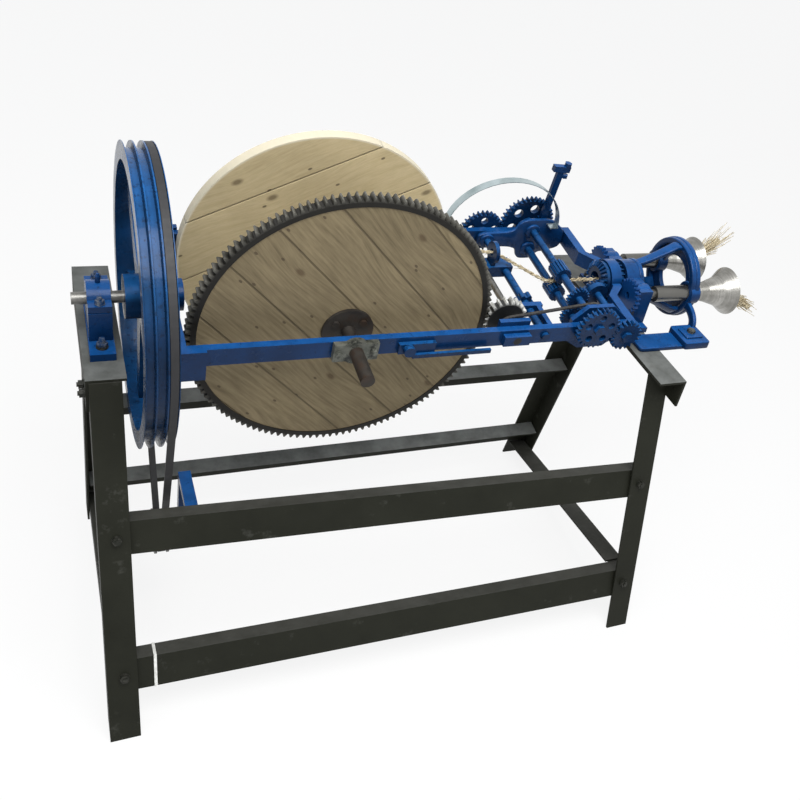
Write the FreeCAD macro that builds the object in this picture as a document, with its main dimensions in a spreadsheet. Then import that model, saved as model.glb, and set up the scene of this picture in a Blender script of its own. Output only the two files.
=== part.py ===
import FreeCAD, Part
import math
import os
import Sketcher
from FreeCAD import Placement, Rotation, Vector as V

os.makedirs("parts", exist_ok=True)
doc = FreeCAD.newDocument("rope_machine")

# Dimensions, in millimetres. The machine runs along X with the belt wheel at the low end.
# Positions are counted from the outer face of the left top bar (X), the turning axis (Y)
# and the floor (Z), then moved so that the middle of the outline is the origin.
DIMS = [
    ("span", 1300), ("origin_x", 773.25), ("origin_y", -82), ("axis_z", 803), ("tilt_deg", 5.5),
    ("bar_top", 722), ("bar_w", 75), ("bar_t", 6), ("left_bar_len", 417), ("right_bar_len", 588),
    ("leg_w", 60), ("leg_t", 5), ("rail_w", 74), ("rail_top_w", 45), ("rail_t", 5), ("brace_w", 50),
    ("left_near_y", -165), ("left_leg_y", -165), ("right_leg_y", -272), ("front_foot_y", -472),
    ("back_low_z", 144), ("back_top_y", 103), ("back_foot_y", 239), ("mid_z", 446), ("back_mid_z", 432), ("low_z", 163),
    ("wheel_r", 309), ("wheel_x", 93), ("wheel_w", 60), ("rim_in_r", 272), ("shaft_r", 12.5),
    ("pulley_r", 48), ("pulley_y", -128), ("pulley_z", 250), ("belt_h", 10.5),
    ("bar_in_y", 184), ("frame_bar_t", 16), ("frame_bar_h", 42), ("frame_x0", 160), ("frame_x1", 1190),
    ("reel_x", 513), ("disc_r", 308), ("back_disc_r", 310), ("disc_t", 20), ("disc_y", 119),
    ("back_disc_y", 146), ("back_disc_t", 28), ("drum_r", 70),
    ("ring_teeth", 130), ("ring_module", 5), ("ring_w", 24), ("pinion_teeth", 20), ("pinion_w", 22),
    ("cross_x", 1175), ("gear_w", 14), ("bevel_module", 4), ("bevel_fixed", 24), ("bevel_planet", 16),
    ("gear_b_teeth", 19), ("gear_a_teeth", 26), ("gear_e_teeth", 36), ("gear_d_teeth", 28),
    ("pair_teeth", 18), ("roller_z", 27), ("roller_r", 22), ("roller_len", 44), ("sprocket_teeth", 13),
    ("sleeve_r", 30), ("bore_r", 20), ("bell_y", 80), ("bell_r", 20), ("bell_mouth_r", 62),
    ("cage_r", 105), ("cage_x0", 1362), ("cage_x1", 1440), ("bell_end_x", 1560),
]
sheet = doc.addObject("Spreadsheet::Sheet", "dims")
P = {}
for row, (key, value) in enumerate(DIMS, start=1):
    sheet.set("A%d" % row, key)
    sheet.set("B%d" % row, str(value))
    sheet.setAlias("B%d" % row, key)
    P[key] = value
doc.recompute()

COUNT = [0]
PARTS = []
ORIGIN = V(P["origin_x"], P["origin_y"], 0)
STAND = Placement(-1 * ORIGIN, Rotation())
ROTOR = Placement(V(0, 0, P["axis_z"]) - ORIGIN, Rotation(V(1, 0, 0), P["tilt_deg"]))
X_UP = Rotation(V(0, 1, 0), 90)
Y_BACK = Rotation(V(1, 0, 0), -90)
FACE_FRONT = Rotation(V(1, 0, 0), 90)


def size(obj, prop, value):
    """Give a property a number, or tie it to a named cell of the sheet."""
    if isinstance(value, str):
        obj.setExpression(prop, "dims." + value)
    else:
        setattr(obj, prop, value)


def new(kind, hint):
    COUNT[0] += 1
    return doc.addObject(kind, "%s_%d" % (hint, COUNT[0]))


def box(lx, ly, lz, x=0, y=0, z=0, turn=None):
    b = new("Part::Box", "block")
    size(b, "Length", lx)
    size(b, "Width", ly)
    size(b, "Height", lz)
    b.Placement = Placement(V(x, y, z), turn or Rotation())
    return b


def cyl(radius, height, x=0, y=0, z=0, turn=None):
    c = new("Part::Cylinder", "round")
    size(c, "Radius", radius)
    size(c, "Height", height)
    c.Placement = Placement(V(x, y, z), turn or Rotation())
    return c


def cone(r1, r2, height, x=0, y=0, z=0, turn=None):
    c = new("Part::Cone", "cone")
    size(c, "Radius1", r1)
    size(c, "Radius2", r2)
    size(c, "Height", height)
    c.Placement = Placement(V(x, y, z), turn or Rotation())
    return c


def hexagon(across, height, x=0, y=0, z=0, turn=None):
    h = new("Part::Prism", "hexagon")
    h.Polygon = 6
    h.Circumradius = across / math.sqrt(3)
    h.Height = height
    h.Placement = Placement(V(x, y, z), turn or Rotation())
    return h


def profile(points, length, place=None, along=V(0, 0, 1)):
    """Closed outline in the XY plane, pushed out along a direction."""
    wire = new("Part::Feature", "outline")
    pts = [V(a, b, 0) for a, b in points]
    wire.Shape = Part.makePolygon(pts + pts[:1])
    ext = new("Part::Extrusion", "push")
    ext.Base = wire
    ext.DirMode = "Custom"
    ext.Dir = along
    size(ext, "LengthFwd", length)
    ext.Solid = True
    ext.Placement = place or Placement()
    return ext


def spun(points, place=None):
    """Closed outline (distance along X, radius Y) turned right round the X axis."""
    wire = new("Part::Feature", "outline")
    pts = [V(a, b, 0) for a, b in points]
    wire.Shape = Part.makePolygon(pts + pts[:1])
    rev = new("Part::Revolution", "spin")
    rev.Source = wire
    rev.Axis = V(1, 0, 0)
    rev.Base = V(0, 0, 0)
    rev.Angle = 360
    rev.Solid = True
    rev.Placement = place or Placement()
    return rev


def join(items):
    if len(items) == 1:
        return items[0]
    f = new("Part::MultiFuse", "join")
    f.Shapes = items
    f.Refine = True
    return f


def bunch(items):
    """Pieces of one kind kept together without touching one another."""
    c = new("Part::Compound", "bunch")
    c.Links = items
    return c


def cut(base, tools):
    c = new("Part::Cut", "cut")
    c.Base = base
    c.Tool = join(tools)
    return c


def keep(obj, name, parent, x=0, y=0, z=0, turn=None):
    """Name a finished piece and set it in its place on the stand or on the rotor."""
    obj.Label = name
    obj.Placement = parent * Placement(V(x, y, z), turn or Rotation()) * obj.Placement
    PARTS.append(obj)
    return obj


def gear_points(teeth, module, phase=0.0, thick=0.40, add=0.78, ded=1.15, tip=0.45):
    """Outline of a spur gear; the first tooth stands at the phase angle (radians)."""
    rp = teeth * module / 2.0
    ra = rp + add * module
    rd = rp - ded * module
    pitch = 2 * math.pi / teeth
    pts = []
    for i in range(teeth):
        a = phase + i * pitch
        half = pitch * thick / 2
        root = half * 1.55
        top = half * tip
        for r, d in ((rd, -root), (rp, -half), (ra, -top), (ra, top), (rp, half), (rd, root)):
            pts.append((r * math.cos(a + d), r * math.sin(a + d)))
    return pts


def gear(teeth, module, width, phase=0.0, place=None, thick=0.40):
    return profile(gear_points(teeth, module, phase, thick), width, place)


def bevel(teeth, mate, module, face, phase, bore, back):
    """Straight bevel gear, apex at the origin, opening along +Z, teeth as tapered wedges."""
    rp = teeth * module / 2.0
    zp = mate * module / 2.0
    dist = math.hypot(rp, zp)
    small = (dist - face) / dist
    cone_a = math.atan2(rp, zp)
    pitch = 2 * math.pi / teeth
    ax, az = math.cos(cone_a), -math.sin(cone_a)
    solid = None
    rd = 0.95 * module
    ro, zo = rp - rd * ax, zp - rd * az
    prof = [V(bore, 0, zo * small), V(ro * small, 0, zo * small), V(ro, 0, zo), V(ro, 0, zo + back),
            V(bore, 0, zo + back)]
    solid = Part.Face(Part.makePolygon(prof + prof[:1])).revolve(V(0, 0, 0), V(0, 0, 1), 360)
    for i in range(teeth):
        a = phase + i * pitch
        wires = []
        for s in (1.0, small):
            ring = []
            for up, half in ((-1.1, 0.30), (0.0, 0.19), (0.72, 0.09)):
                r = (rp + up * module * ax) * s
                z = (zp + up * module * az) * s
                ring.append((r, z, half * pitch))
            pts = [V(r * math.cos(a - h), r * math.sin(a - h), z) for r, z, h in ring]
            pts += [V(r * math.cos(a + h), r * math.sin(a + h), z) for r, z, h in reversed(ring)]
            wires.append(pts)
        solid = solid.fuse(wedge(wires[0], wires[1]))
    f = new("Part::Feature", "bevel")
    f.Shape = solid.removeSplitter()
    return f


def wedge(big, small):
    """Solid between two outlines with the same number of corners."""
    n = len(big)
    faces = []
    for loop in (big, small):
        for i in range(1, n - 1):
            faces.append(Part.Face(Part.makePolygon([loop[0], loop[i], loop[i + 1], loop[0]])))
    for i in range(n):
        j = (i + 1) % n
        a, b, c, d = big[i], big[j], small[j], small[i]
        faces.append(Part.Face(Part.makePolygon([a, b, c, a])))
        faces.append(Part.Face(Part.makePolygon([a, c, d, a])))
    return Part.makeSolid(Part.makeShell(faces))


def plane_of(body, role):
    for f in body.Origin.OriginFeatures:
        if f.Role == role:
            return f
    return None


def angle_body(name, wide, deep, thick, length):
    """Rolled steel angle along X: one leg hangs down at the front, the other lies on top."""
    body = doc.addObject("PartDesign::Body", name)
    sk = body.newObject("Sketcher::SketchObject", name + "_section")
    sk.AttachmentSupport = [(plane_of(body, "YZ_Plane"), "")]
    sk.MapMode = "FlatFace"
    w, d, t = P[wide], P[deep], P[thick]
    pts = [(0, 0), (d, 0), (d, -t), (t, -t), (t, -w), (0, -w)]
    for i, a in enumerate(pts):
        b = pts[(i + 1) % 6]
        sk.addGeometry(Part.LineSegment(V(a[0], a[1], 0), V(b[0], b[1], 0)), False)
    for i in range(6):
        sk.addConstraint(Sketcher.Constraint("Coincident", i, 2, (i + 1) % 6, 1))
    for i in range(6):
        sk.addConstraint(Sketcher.Constraint("Horizontal" if i % 2 == 0 else "Vertical", i))
    sk.addConstraint(Sketcher.Constraint("Coincident", 0, 1, -1, 1))
    for index, value, cell in ((0, d, deep), (1, t, thick), (4, t, thick), (5, w, wide)):
        c = sk.addConstraint(Sketcher.Constraint("Distance", index, value))
        sk.setExpression("Constraints[%d]" % c, "dims." + cell)
    pad = body.newObject("PartDesign::Pad", name + "_length")
    pad.Profile = sk
    size(pad, "Length", length)
    body.Tip = pad
    return body


def bolt_holes(body, name, spots, radius):
    """Round holes through the top leg of an angle bar."""
    sk = body.newObject("Sketcher::SketchObject", name + "_holes")
    sk.AttachmentSupport = [(plane_of(body, "XY_Plane"), "")]
    sk.MapMode = "FlatFace"
    for x, y in spots:
        sk.addGeometry(Part.Circle(V(x, y, 0), V(0, 0, 1), radius), False)
    pocket = body.newObject("PartDesign::Pocket", name + "_drill")
    pocket.Profile = sk
    pocket.Length = 2 * P["bar_t"] + 2
    pocket.Midplane = True
    body.Tip = pocket


# The stand: two top bars, four legs, four long rails and two short braces
TOP, T = P["bar_top"], P["bar_t"]
SPAN = P["span"]
LEFT_TURN = Rotation(V(0, 0, 1), -90)
RIGHT_TURN = Rotation(V(0, 0, 1), 90)
LEFT_NEAR = P["left_near_y"]
RIGHT_NEAR = LEFT_NEAR + P["left_bar_len"] - P["right_bar_len"]

left_bar = angle_body("left_top_bar", "bar_w", "bar_w", "bar_t", "left_bar_len")
bolt_holes(left_bar, "left_top_bar", [(LEFT_NEAR + P["left_bar_len"] - y, 37) for y in (-80, 80)], 7)
keep(left_bar, "left_top_bar", STAND, 0, LEFT_NEAR + P["left_bar_len"], TOP, LEFT_TURN)
right_bar = angle_body("right_top_bar", "bar_w", "bar_w", "bar_t", "right_bar_len")
bolt_holes(right_bar, "right_top_bar", [(y - RIGHT_NEAR, 37) for y in (-118, 118)], 6.5)
keep(right_bar, "right_top_bar", STAND, SPAN, RIGHT_NEAR, TOP, RIGHT_TURN)


def slope(y_top, y_foot):
    return (y_top - y_foot) / TOP


LEAN_L = slope(P["left_leg_y"], P["front_foot_y"])
LEAN_R = slope(P["right_leg_y"], P["front_foot_y"])
LEAN_B = slope(P["back_top_y"], P["back_foot_y"])
ANG_F = math.degrees(math.atan((LEAN_L + LEAN_R) / 2))
ANG_B = math.degrees(math.atan(LEAN_B))
LEG_H = TOP - T


def leg(name, x_out, inward, y_top, lean, depth_sign):
    """Angle leg pushed down the slope of its side, level at both ends."""
    w, t = P["leg_w"], P["leg_t"]
    s, d = inward, depth_sign
    pts = [(0, 0), (s * w, 0), (s * w, d * t), (s * t, d * t), (s * t, d * w), (0, d * w)]
    along = V(0, -lean, -1)
    length = LEG_H * math.sqrt(1 + lean * lean)
    body = profile(pts, length, None, along)
    keep(body, name, STAND, x_out, y_top - lean * T, LEG_H)


leg("front_left_leg", T, 1, P["left_leg_y"], LEAN_L, 1)
leg("front_right_leg", SPAN - T, -1, P["right_leg_y"], LEAN_R, 1)
leg("back_left_leg", T, 1, P["back_top_y"], LEAN_B, -1)
leg("back_right_leg", SPAN - T, -1, P["back_top_y"], LEAN_B, -1)

RAIL_X0 = T + P["leg_t"] + 1
sheet.set("A90", "rail_len")
sheet.set("B90", str(SPAN - 2 * RAIL_X0 - 4))
sheet.setAlias("B90", "rail_len")
P["rail_len"] = SPAN - 2 * RAIL_X0 - 4
doc.recompute()


def left_y(z):
    return P["left_leg_y"] - LEAN_L * (TOP - z)


def right_y(z):
    return P["right_leg_y"] - LEAN_R * (TOP - z)


def back_y(z):
    return P["back_top_y"] - LEAN_B * (TOP - z)


def front_rail(name, z):
    """Rail behind the front legs; it runs a little askew, because the legs lean differently."""
    body = angle_body(name, "rail_w", "rail_top_w", "rail_t", "rail_len")
    squeeze = (math.tan(math.radians(ANG_F)) - LEAN_R) * P["rail_w"]
    low = left_y(z) + P["leg_t"] + 0.3
    high = right_y(z) + P["leg_t"] + 0.3 + squeeze
    yaw = (high - low) / (SPAN - 80)
    turn = Rotation(V(0, 0, 1), math.degrees(math.atan(yaw))) * Rotation(V(1, 0, 0), -ANG_F)
    x = RAIL_X0 + 1
    keep(body, name, STAND, x, low - yaw * (T + P["leg_w"] - x), z, turn)


def back_rail(name, z):
    """Rail on the inner face of the back legs, its top leg toward the reel, so that it stiffens them."""
    body = angle_body(name, "rail_w", "rail_top_w", "rail_t", "rail_len")
    y = back_y(z) - P["leg_t"] * 1.15 - 0.4
    turn = Rotation(V(1, 0, 0), -ANG_B) * Rotation(V(0, 0, 1), 180)
    keep(body, name, STAND, SPAN - RAIL_X0 - 2, y, z, turn)


front_rail("front_mid_rail", P["mid_z"])
front_rail("front_bottom_rail", P["low_z"])
back_rail("back_mid_rail", P["back_mid_z"])
back_rail("back_bottom_rail", P["back_low_z"])

# Braces fall from the front bottom rail to the feet of the back legs
BRACE_FRONT, BRACE_BACK = 152, 56
for row, (side, x, near) in enumerate((("left", RAIL_X0, left_y), ("right", SPAN - RAIL_X0, right_y)), start=91):
    y0 = near(P["low_z"]) + P["rail_top_w"] + 12
    y1 = back_y(BRACE_BACK) - 7
    fall = math.degrees(math.atan((BRACE_FRONT - BRACE_BACK) / (y1 - y0)))
    cell = side + "_brace_len"
    P[cell] = math.hypot(y1 - y0, BRACE_FRONT - BRACE_BACK)
    sheet.set("A%d" % row, cell)
    sheet.set("B%d" % row, str(P[cell]))
    sheet.setAlias("B%d" % row, cell)
    doc.recompute()
    body = angle_body(side + "_brace", "brace_w", "brace_w", "rail_t", cell)
    tilt = Rotation(V(1, 0, 0), -fall)
    if side == "left":
        keep(body, "left_brace", STAND, x, y1, BRACE_BACK, tilt * LEFT_TURN)
    else:
        keep(body, "right_brace", STAND, x, y0, BRACE_FRONT, tilt * RIGHT_TURN)

# Left pillow block: foot and cap split on the shaft line
Z0 = P["axis_z"] - TOP
foot = join([box(48, 210, 16, -24, -105, 0), box(44, 116, Z0 - 1, -22, -58, 0)])
bore = cyl(P["shaft_r"] + 0.05, 100, -50, 0, Z0, X_UP)
slots = [cyl(7, 40, 0, y, -5) for y in (-80, 80)]
keep(cut(foot, [bore] + slots), "pillow_foot", STAND, 37.5, 0, TOP)
cap = join([cyl(36, 44, -22, 0, 0, X_UP), box(44, 116, 14, -22, -58, 1)])
cap = cut(cap, [box(60, 140, 60, -30, -70, -59), cyl(P["shaft_r"] + 0.05, 100, -50, 0, 0, X_UP)])
cap = join([cap, cyl(5, 14, 0, 0, 36), cone(5, 2.5, 6, 0, 0, 50)])
keep(cap, "pillow_cap", STAND, 37.5, 0, P["axis_z"])


def bolt(x, y, z, head=19, high=9, stem=0, turn=None, down=0):
    """Hexagon bolt head with washer and a showing stem end, standing on a face at z."""
    items = [cyl(head * 0.62, 2.5), hexagon(head, high, 0, 0, 2.5)]
    if stem:
        items.append(cyl(head * 0.29, stem, 0, 0, 2.5 + high))
    if down:
        items.append(cyl(head * 0.29, down + 0.5, 0, 0, -down))
    b = join(items)
    b.Placement = Placement(V(x, y, z), turn or Rotation())
    return b


heads = [bolt(37.5, y, TOP + 16, 19, 9, 10, None, 15.9) for y in (-80, 80)]
heads += [bolt(37.5, y, P["axis_z"] + 15, 16, 8, 6) for y in (-47, 47)]
heads += [bolt(1262.5, y, TOP + 14, 18, 8, 8, None, 13.9) for y in (-118, 118)]
for x, near, lean in ((40, left_y, LEAN_L), (SPAN - 40, right_y, LEAN_R)):
    for z in (P["mid_z"] - 30, P["low_z"] - 30):
        turn = Rotation(V(1, 0, 0), 90 - math.degrees(math.atan(lean)))
        heads.append(bolt(x, near(z), z, 16, 8, 3, turn))
near_bolts = [(0, LEFT_NEAR + d) for d in (18, 46)] + [(SPAN, P["right_leg_y"] + d) for d in (18, 46)]
for x, y in near_bolts:
    heads.append(bolt(x, y, TOP - 42, 16, 8, 3, Rotation(V(0, 1, 0), -90 if x == 0 else 90)))
keep(bunch(heads), "stand_bolts", STAND)

# Lower pulley on its bracket behind the front middle rail, and the V-belt
PX = P["wheel_x"] + P["wheel_w"] / 2 + 20
PY, PZ, PR = P["pulley_y"], P["pulley_z"], P["pulley_r"]
groove = [(-15, 12), (-15, PR + 3), (-10.5, PR + 3), (-5.2, PR - 14), (5.2, PR - 14), (10.5, PR + 3),
          (15, PR + 3), (15, 12)]
pulley = join([spun(groove), cyl(22, 22, 14, 0, 0, X_UP), cyl(12, 126, -60, 0, 0, X_UP)])
keep(pulley, "motor_pulley", STAND, PX, PY, PZ)
BR_X = PX + 38
stub = join([cyl(30, 26, 0, 0, 0, X_UP), box(26, 18, 166, 0, -9, 0)])
tab_y = left_y(P["mid_z"]) - 5 - PY
arm = join([stub, box(26, abs(tab_y), 16, 0, tab_y, 150)])
bracket = cut(arm, [cyl(12.06, 40, -5, 0, 0, X_UP)])
keep(bracket, "pulley_bracket", STAND, BR_X, PY, PZ)


def belt_loop(r1, r2, dy, dz, thick, width):
    """Open belt round two wheels: the hull of two discs less a smaller hull."""
    dist = math.hypot(dy, dz)
    base = math.atan2(dz, dy)
    shapes = []
    for grow in (0.0, -thick):
        a, b = r1 + grow, r2 + grow
        lean = math.acos((a - b) / dist)
        pts = []
        for i in range(65):
            ang = base + lean + (2 * math.pi - 2 * lean) * i / 64
            pts.append(V(0, a * math.cos(ang), a * math.sin(ang)))
        for i in range(25):
            ang = base - lean + 2 * lean * i / 24
            pts.append(V(0, dy + b * math.cos(ang), dz + b * math.sin(ang)))
        shapes.append(Part.Face(Part.makePolygon(pts + pts[:1])).extrude(V(width, 0, 0)))
    return shapes[0].cut(shapes[1])


WR = P["wheel_r"]
loop = new("Part::Feature", "belt")
BACK_W, BACK_H, KEY_W = 14.6, 4.2, 11.6
back = belt_loop(WR - 1, PR, PY, PZ - P["axis_z"], BACK_H, BACK_W)
key = belt_loop(WR - 1 - BACK_H, PR - BACK_H, PY, PZ - P["axis_z"], P["belt_h"] - BACK_H, KEY_W)
key.translate(V((BACK_W - KEY_W) / 2, 0, 0))
loop.Shape = back.fuse(key).removeSplitter()
keep(loop, "drive_belt", STAND, PX - BACK_W / 2, 0, P["axis_z"])

# Belt wheel with three V grooves and six tapered arms, on the main shaft
W = P["wheel_w"]
rim = [(0, P["rim_in_r"]), (0, WR)]
for c in (W / 2 - 20, W / 2, W / 2 + 20):
    rim += [(c - 8.5, WR), (c - 6.2, WR - 14), (c + 6.2, WR - 14), (c + 8.5, WR)]
rim += [(W, WR), (W, P["rim_in_r"])]
arms = []
for i in range(6):
    pts = [(30, -27), (P["rim_in_r"] + 4, -19), (P["rim_in_r"] + 4, 19), (30, 27)]
    place = Placement(V(W / 2 - 9, 0, 0), Rotation(V(1, 0, 0), 60 * i) * Rotation(V(0, 1, 0), -90))
    arms.append(profile(pts, 18, Placement(V(W / 2 + 9, 0, 0), place.Rotation)))
wheel = join([spun(rim), cyl(46, 69, -8, 0, 0, X_UP)] + arms)
wheel = cut(wheel, [cyl(P["shaft_r"], 120, -20, 0, 0, X_UP)])
keep(wheel, "drive_wheel", ROTOR, P["wheel_x"])
shaft = join([cyl("shaft_r", P["frame_x0"] + 30 + 12, 0, 0, 0, X_UP)])
keep(shaft, "main_shaft", ROTOR, -12)

# Winding frame: two long flat bars, an end bar and the yoke
CX = P["cross_x"]
FZ = P["roller_z"]
PAIR = (P["gear_a_teeth"] + P["gear_b_teeth"]) * 2.0
AX = CX - math.sqrt(PAIR ** 2 - FZ ** 2)
TRAIN = (P["gear_e_teeth"] + P["gear_d_teeth"]) * 2.0
SX = AX - math.sqrt(TRAIN ** 2 - FZ ** 2)
GX = SX - 54
NX = P["reel_x"] + (P["ring_teeth"] + P["pinion_teeth"]) * P["ring_module"] / 2
BY, BT, BH = P["bar_in_y"], P["frame_bar_t"], P["frame_bar_h"]
FX0, FX1 = P["frame_x0"], P["frame_x1"]
END_T = 20
FOOT_X, FOOT_Z, CHEEK = 54, BH / 2 + 24, 14
feet = [box(FOOT_X, BT + CHEEK, 24, 0, y, -FOOT_Z) for y in (-BY - BT - CHEEK, BY)]
feet += [box(FOOT_X, CHEEK, FOOT_Z + 27, 0, y, -FOOT_Z) for y in (-BY - BT - CHEEK, BY + BT)]
end = join([box(END_T, 2 * BY + 2 * BT, BH, 0, -BY - BT, -BH / 2), cyl(34, 44, -6, 0, 0, X_UP)] + feet)
end = cut(end, [cyl(P["shaft_r"], 80, -20, 0, 0, X_UP)])
keep(end, "frame_end_bar", ROTOR, FX0)
for name, sign in (("front_bar", -1), ("back_bar", 1)):
    y = -BY - BT if sign < 0 else BY
    plain = box(FX1 - FX0 - END_T, "frame_bar_t", "frame_bar_h", 0, 0, -BH / 2)
    spots = [P["reel_x"]] + ([NX, P["cross_x"], SX] if sign < 0 else [SX])
    holes = [cyl(17 if i == 0 else 11, 40, s - FX0 - END_T, -10, 0, Y_BACK) for i, s in enumerate(spots)]
    holes.append(cyl(11, 40, AX - FX0 - END_T, -10, FZ, Y_BACK))
    keep(cut(plain, holes), name, ROTOR, FX0 + END_T, y)

HX = 1220
yoke = []
for s in (-1, 1):
    half = [(FX1, BY + BT), (1212, BY + BT), (1212, 90), (1244, 58), (1244, 40), (HX, 40), (HX, 54),
            (1190, 88), (FX1, BY - 4)]
    yoke.append(profile([(a - FX1, s * b) for a, b in half], 38, Placement(V(0, 0, -19), Rotation())))
yoke = join(yoke + [cyl(50, 30, HX - FX1, 0, 0, X_UP)])
yoke = cut(yoke, [cyl(P["sleeve_r"] + 0.06, 100, 10, 0, 0, X_UP)])
keep(yoke, "yoke", ROTOR, FX1)
GEAR_X = 1252
ring = gear(20, 4, 12, math.pi / 20 - math.radians(P["tilt_deg"]), None, 0.36)
hub = join([ring, cyl(36.4, 14.5, 0, 0, -2)])
hub = cut(hub, [cyl(P["sleeve_r"] + 0.06, 60, 0, 0, -20)])
keep(hub, "hub_gear", ROTOR, GEAR_X, 0, 0, X_UP)

# Fixed sleeve with the stationary bevel gear, held in the right housing
sun = bevel(P["bevel_fixed"], P["bevel_planet"], P["bevel_module"], 17, 0.0, P["bore_r"], 8)
sun.Placement = Placement(V(CX, 0, 0), X_UP * Rotation(V(0, 0, 1), 90))
tube = join([sun, cyl("sleeve_r", 97, CX + 38, 0, 0, X_UP)])
tube = cut(tube, [cyl("bore_r", 400, CX - 20, 0, 0, X_UP)])
keep(tube, "fixed_sleeve", ROTOR)

# Front cross shaft: planet bevel inside, gear B outside the front bar
YB = BY + BT
pin = bevel(P["bevel_planet"], P["bevel_fixed"], P["bevel_module"], 17, math.pi / 16, 8, 14)
pin.Placement = Placement(V(0, 0, 0), FACE_FRONT)
b_lean = math.atan2(FZ, AX - CX)
b_face = gear(P["gear_b_teeth"], 4, "gear_w", b_lean + math.pi / P["gear_b_teeth"],
              Placement(V(0, -YB - 8, 0), FACE_FRONT))
cross = join([pin, cyl(9.9, YB - 30, 0, -52, 0, FACE_FRONT), cyl(9.9, 12, 0, -44, 0, FACE_FRONT), b_face,
              cyl(18, 6, 0, -YB - 2.5, 0, FACE_FRONT), hexagon(24, 8, 0, -YB - 8 - P["gear_w"], 0, FACE_FRONT)])
keep(cross, "front_cross_shaft", ROTOR, CX)


def web_holes(rp, count, y, depth, first=0.3):
    out = []
    for i in range(count):
        a = 2 * math.pi * i / count + first
        r = rp * 0.62
        out.append(cyl(rp * 0.17, depth, r * math.cos(a), y, r * math.sin(a), FACE_FRONT))
    return out


# Pair of fluted drawing rollers geared together; the upper one carries gears A and E
RR = P["roller_r"]
SPROCKET_M = 12.7 / math.pi
PAIR_Y = -98


def fluted(length):
    pts = []
    for i in range(16):
        a = 2 * math.pi * i / 16
        b = a + math.pi / 16
        pts.append((RR * math.cos(a - 0.11), RR * math.sin(a - 0.11)))
        pts.append((RR * math.cos(a + 0.11), RR * math.sin(a + 0.11)))
        pts.append(((RR - 3.5) * math.cos(b), (RR - 3.5) * math.sin(b)))
    return profile(pts, length, Placement(V(0, P["roller_len"] / 2, 0), FACE_FRONT))


a_wheel = gear(P["gear_a_teeth"], 4, "gear_w", b_lean + math.pi, Placement(V(0, -YB - 8, 0), FACE_FRONT))
a_wheel = cut(a_wheel, web_holes(52, 5, -YB - 4, 40))
e_lean = math.atan2(-FZ, SX - AX)
e_wheel = gear(P["gear_e_teeth"], 4, "gear_w", e_lean, Placement(V(0, YB + 8 + P["gear_w"], 0), FACE_FRONT))
e_wheel = cut(e_wheel, web_holes(72, 6, YB + 60, 60))
upper_pair = gear(P["pair_teeth"], 3, 12, -math.pi / 2, Placement(V(0, PAIR_Y, 0), FACE_FRONT))
drive = gear(P["sprocket_teeth"], SPROCKET_M, 5, 0, Placement(V(0, -BY + 20, 0), FACE_FRONT), 0.34)
upper = join([fluted("roller_len"), cyl(9.9, 2 * YB + 44, 0, YB + 22, 0, FACE_FRONT), a_wheel, e_wheel, upper_pair,
              drive, cyl(18, 6, 0, -YB - 2.5, 0, FACE_FRONT), cyl(18, 6, 0, YB + 8.5, 0, FACE_FRONT),
              hexagon(24, 8, 0, -YB - 8 - P["gear_w"], 0, FACE_FRONT)])
keep(upper, "upper_roller", ROTOR, AX, 0, FZ)
lower_pair = gear(P["pair_teeth"], 3, 12, math.pi / 2 + math.pi / P["pair_teeth"],
                  Placement(V(0, PAIR_Y, 0), FACE_FRONT))
lower = join([fluted("roller_len"), cyl(9.9, 2 * BY - 1, 0, BY - 0.5, 0, FACE_FRONT), lower_pair])
keep(lower, "lower_roller", ROTOR, AX, 0, -FZ)

# Bearing plates that hold the cross shaft, the rollers and the screw
PLATE_X = AX - 52
for name, sign in (("front_bearing_plate", -1), ("back_bearing_plate", 1)):
    x0 = PLATE_X if sign < 0 else SX - 34
    y0 = -BY if sign < 0 else BY - 12
    width = FX1 - 4 - x0
    plate = profile([(0, -34), (0, 26), (34, 62), (width - 46, 62), (width, 24), (width, -24), (width - 40, -60),
                     (40, -60)], 12, Placement(V(0, 12, 0), FACE_FRONT))
    shafts = [(AX, FZ), (AX, -FZ), (CX if sign < 0 else SX, 0)]
    holes = [cyl(10, 40, x - x0, -10, z, Y_BACK) for x, z in shafts]
    keep(cut(plate, holes), name, ROTOR, x0, y0)

# Reel: two plank discs, ring gear, drum and shaft
DR, DT, DY = P["disc_r"], P["disc_t"], P["disc_y"]
disc = cut(cyl("disc_r", "disc_t"), [cyl(15, 60, 0, 0, -10)])
keep(disc, "front_disc", ROTOR, P["reel_x"], -DY, 0, FACE_FRONT)
disc = cut(cyl("back_disc_r", "back_disc_t"), [cyl(15, 60, 0, 0, -10)])
keep(disc, "back_disc", ROTOR, P["reel_x"], P["back_disc_y"], 0, FACE_FRONT)
ring = gear(P["ring_teeth"], P["ring_module"], "ring_w", 0)
ring = cut(ring, [cyl("disc_r", 60, 0, 0, 2), cyl(DR - 16, 60, 0, 0, -5)])
keep(ring, "ring_gear", ROTOR, P["reel_x"], -DY + 2, 0, FACE_FRONT)
DRUM_Y = P["back_disc_y"] - P["back_disc_t"]
drum = cut(cyl("drum_r", DRUM_Y + DY), [cyl(15, 600, 0, 0, -10)])
keep(drum, "reel_drum", ROTOR, P["reel_x"], DRUM_Y, 0, FACE_FRONT)
flange = cut(cyl(56, 7, 0, -DY - DT, 0, FACE_FRONT), [box(200, 60, 60, -100, -180, -84)])
rod = cyl(15, 524, 0, 222, 0, FACE_FRONT)
nuts = [hexagon(15, 6, x, -DY - DT - 7, z, FACE_FRONT) for x, z in ((-30, 22), (30, 22))]
keep(join([flange, rod] + nuts), "reel_shaft", ROTOR, P["reel_x"])

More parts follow.
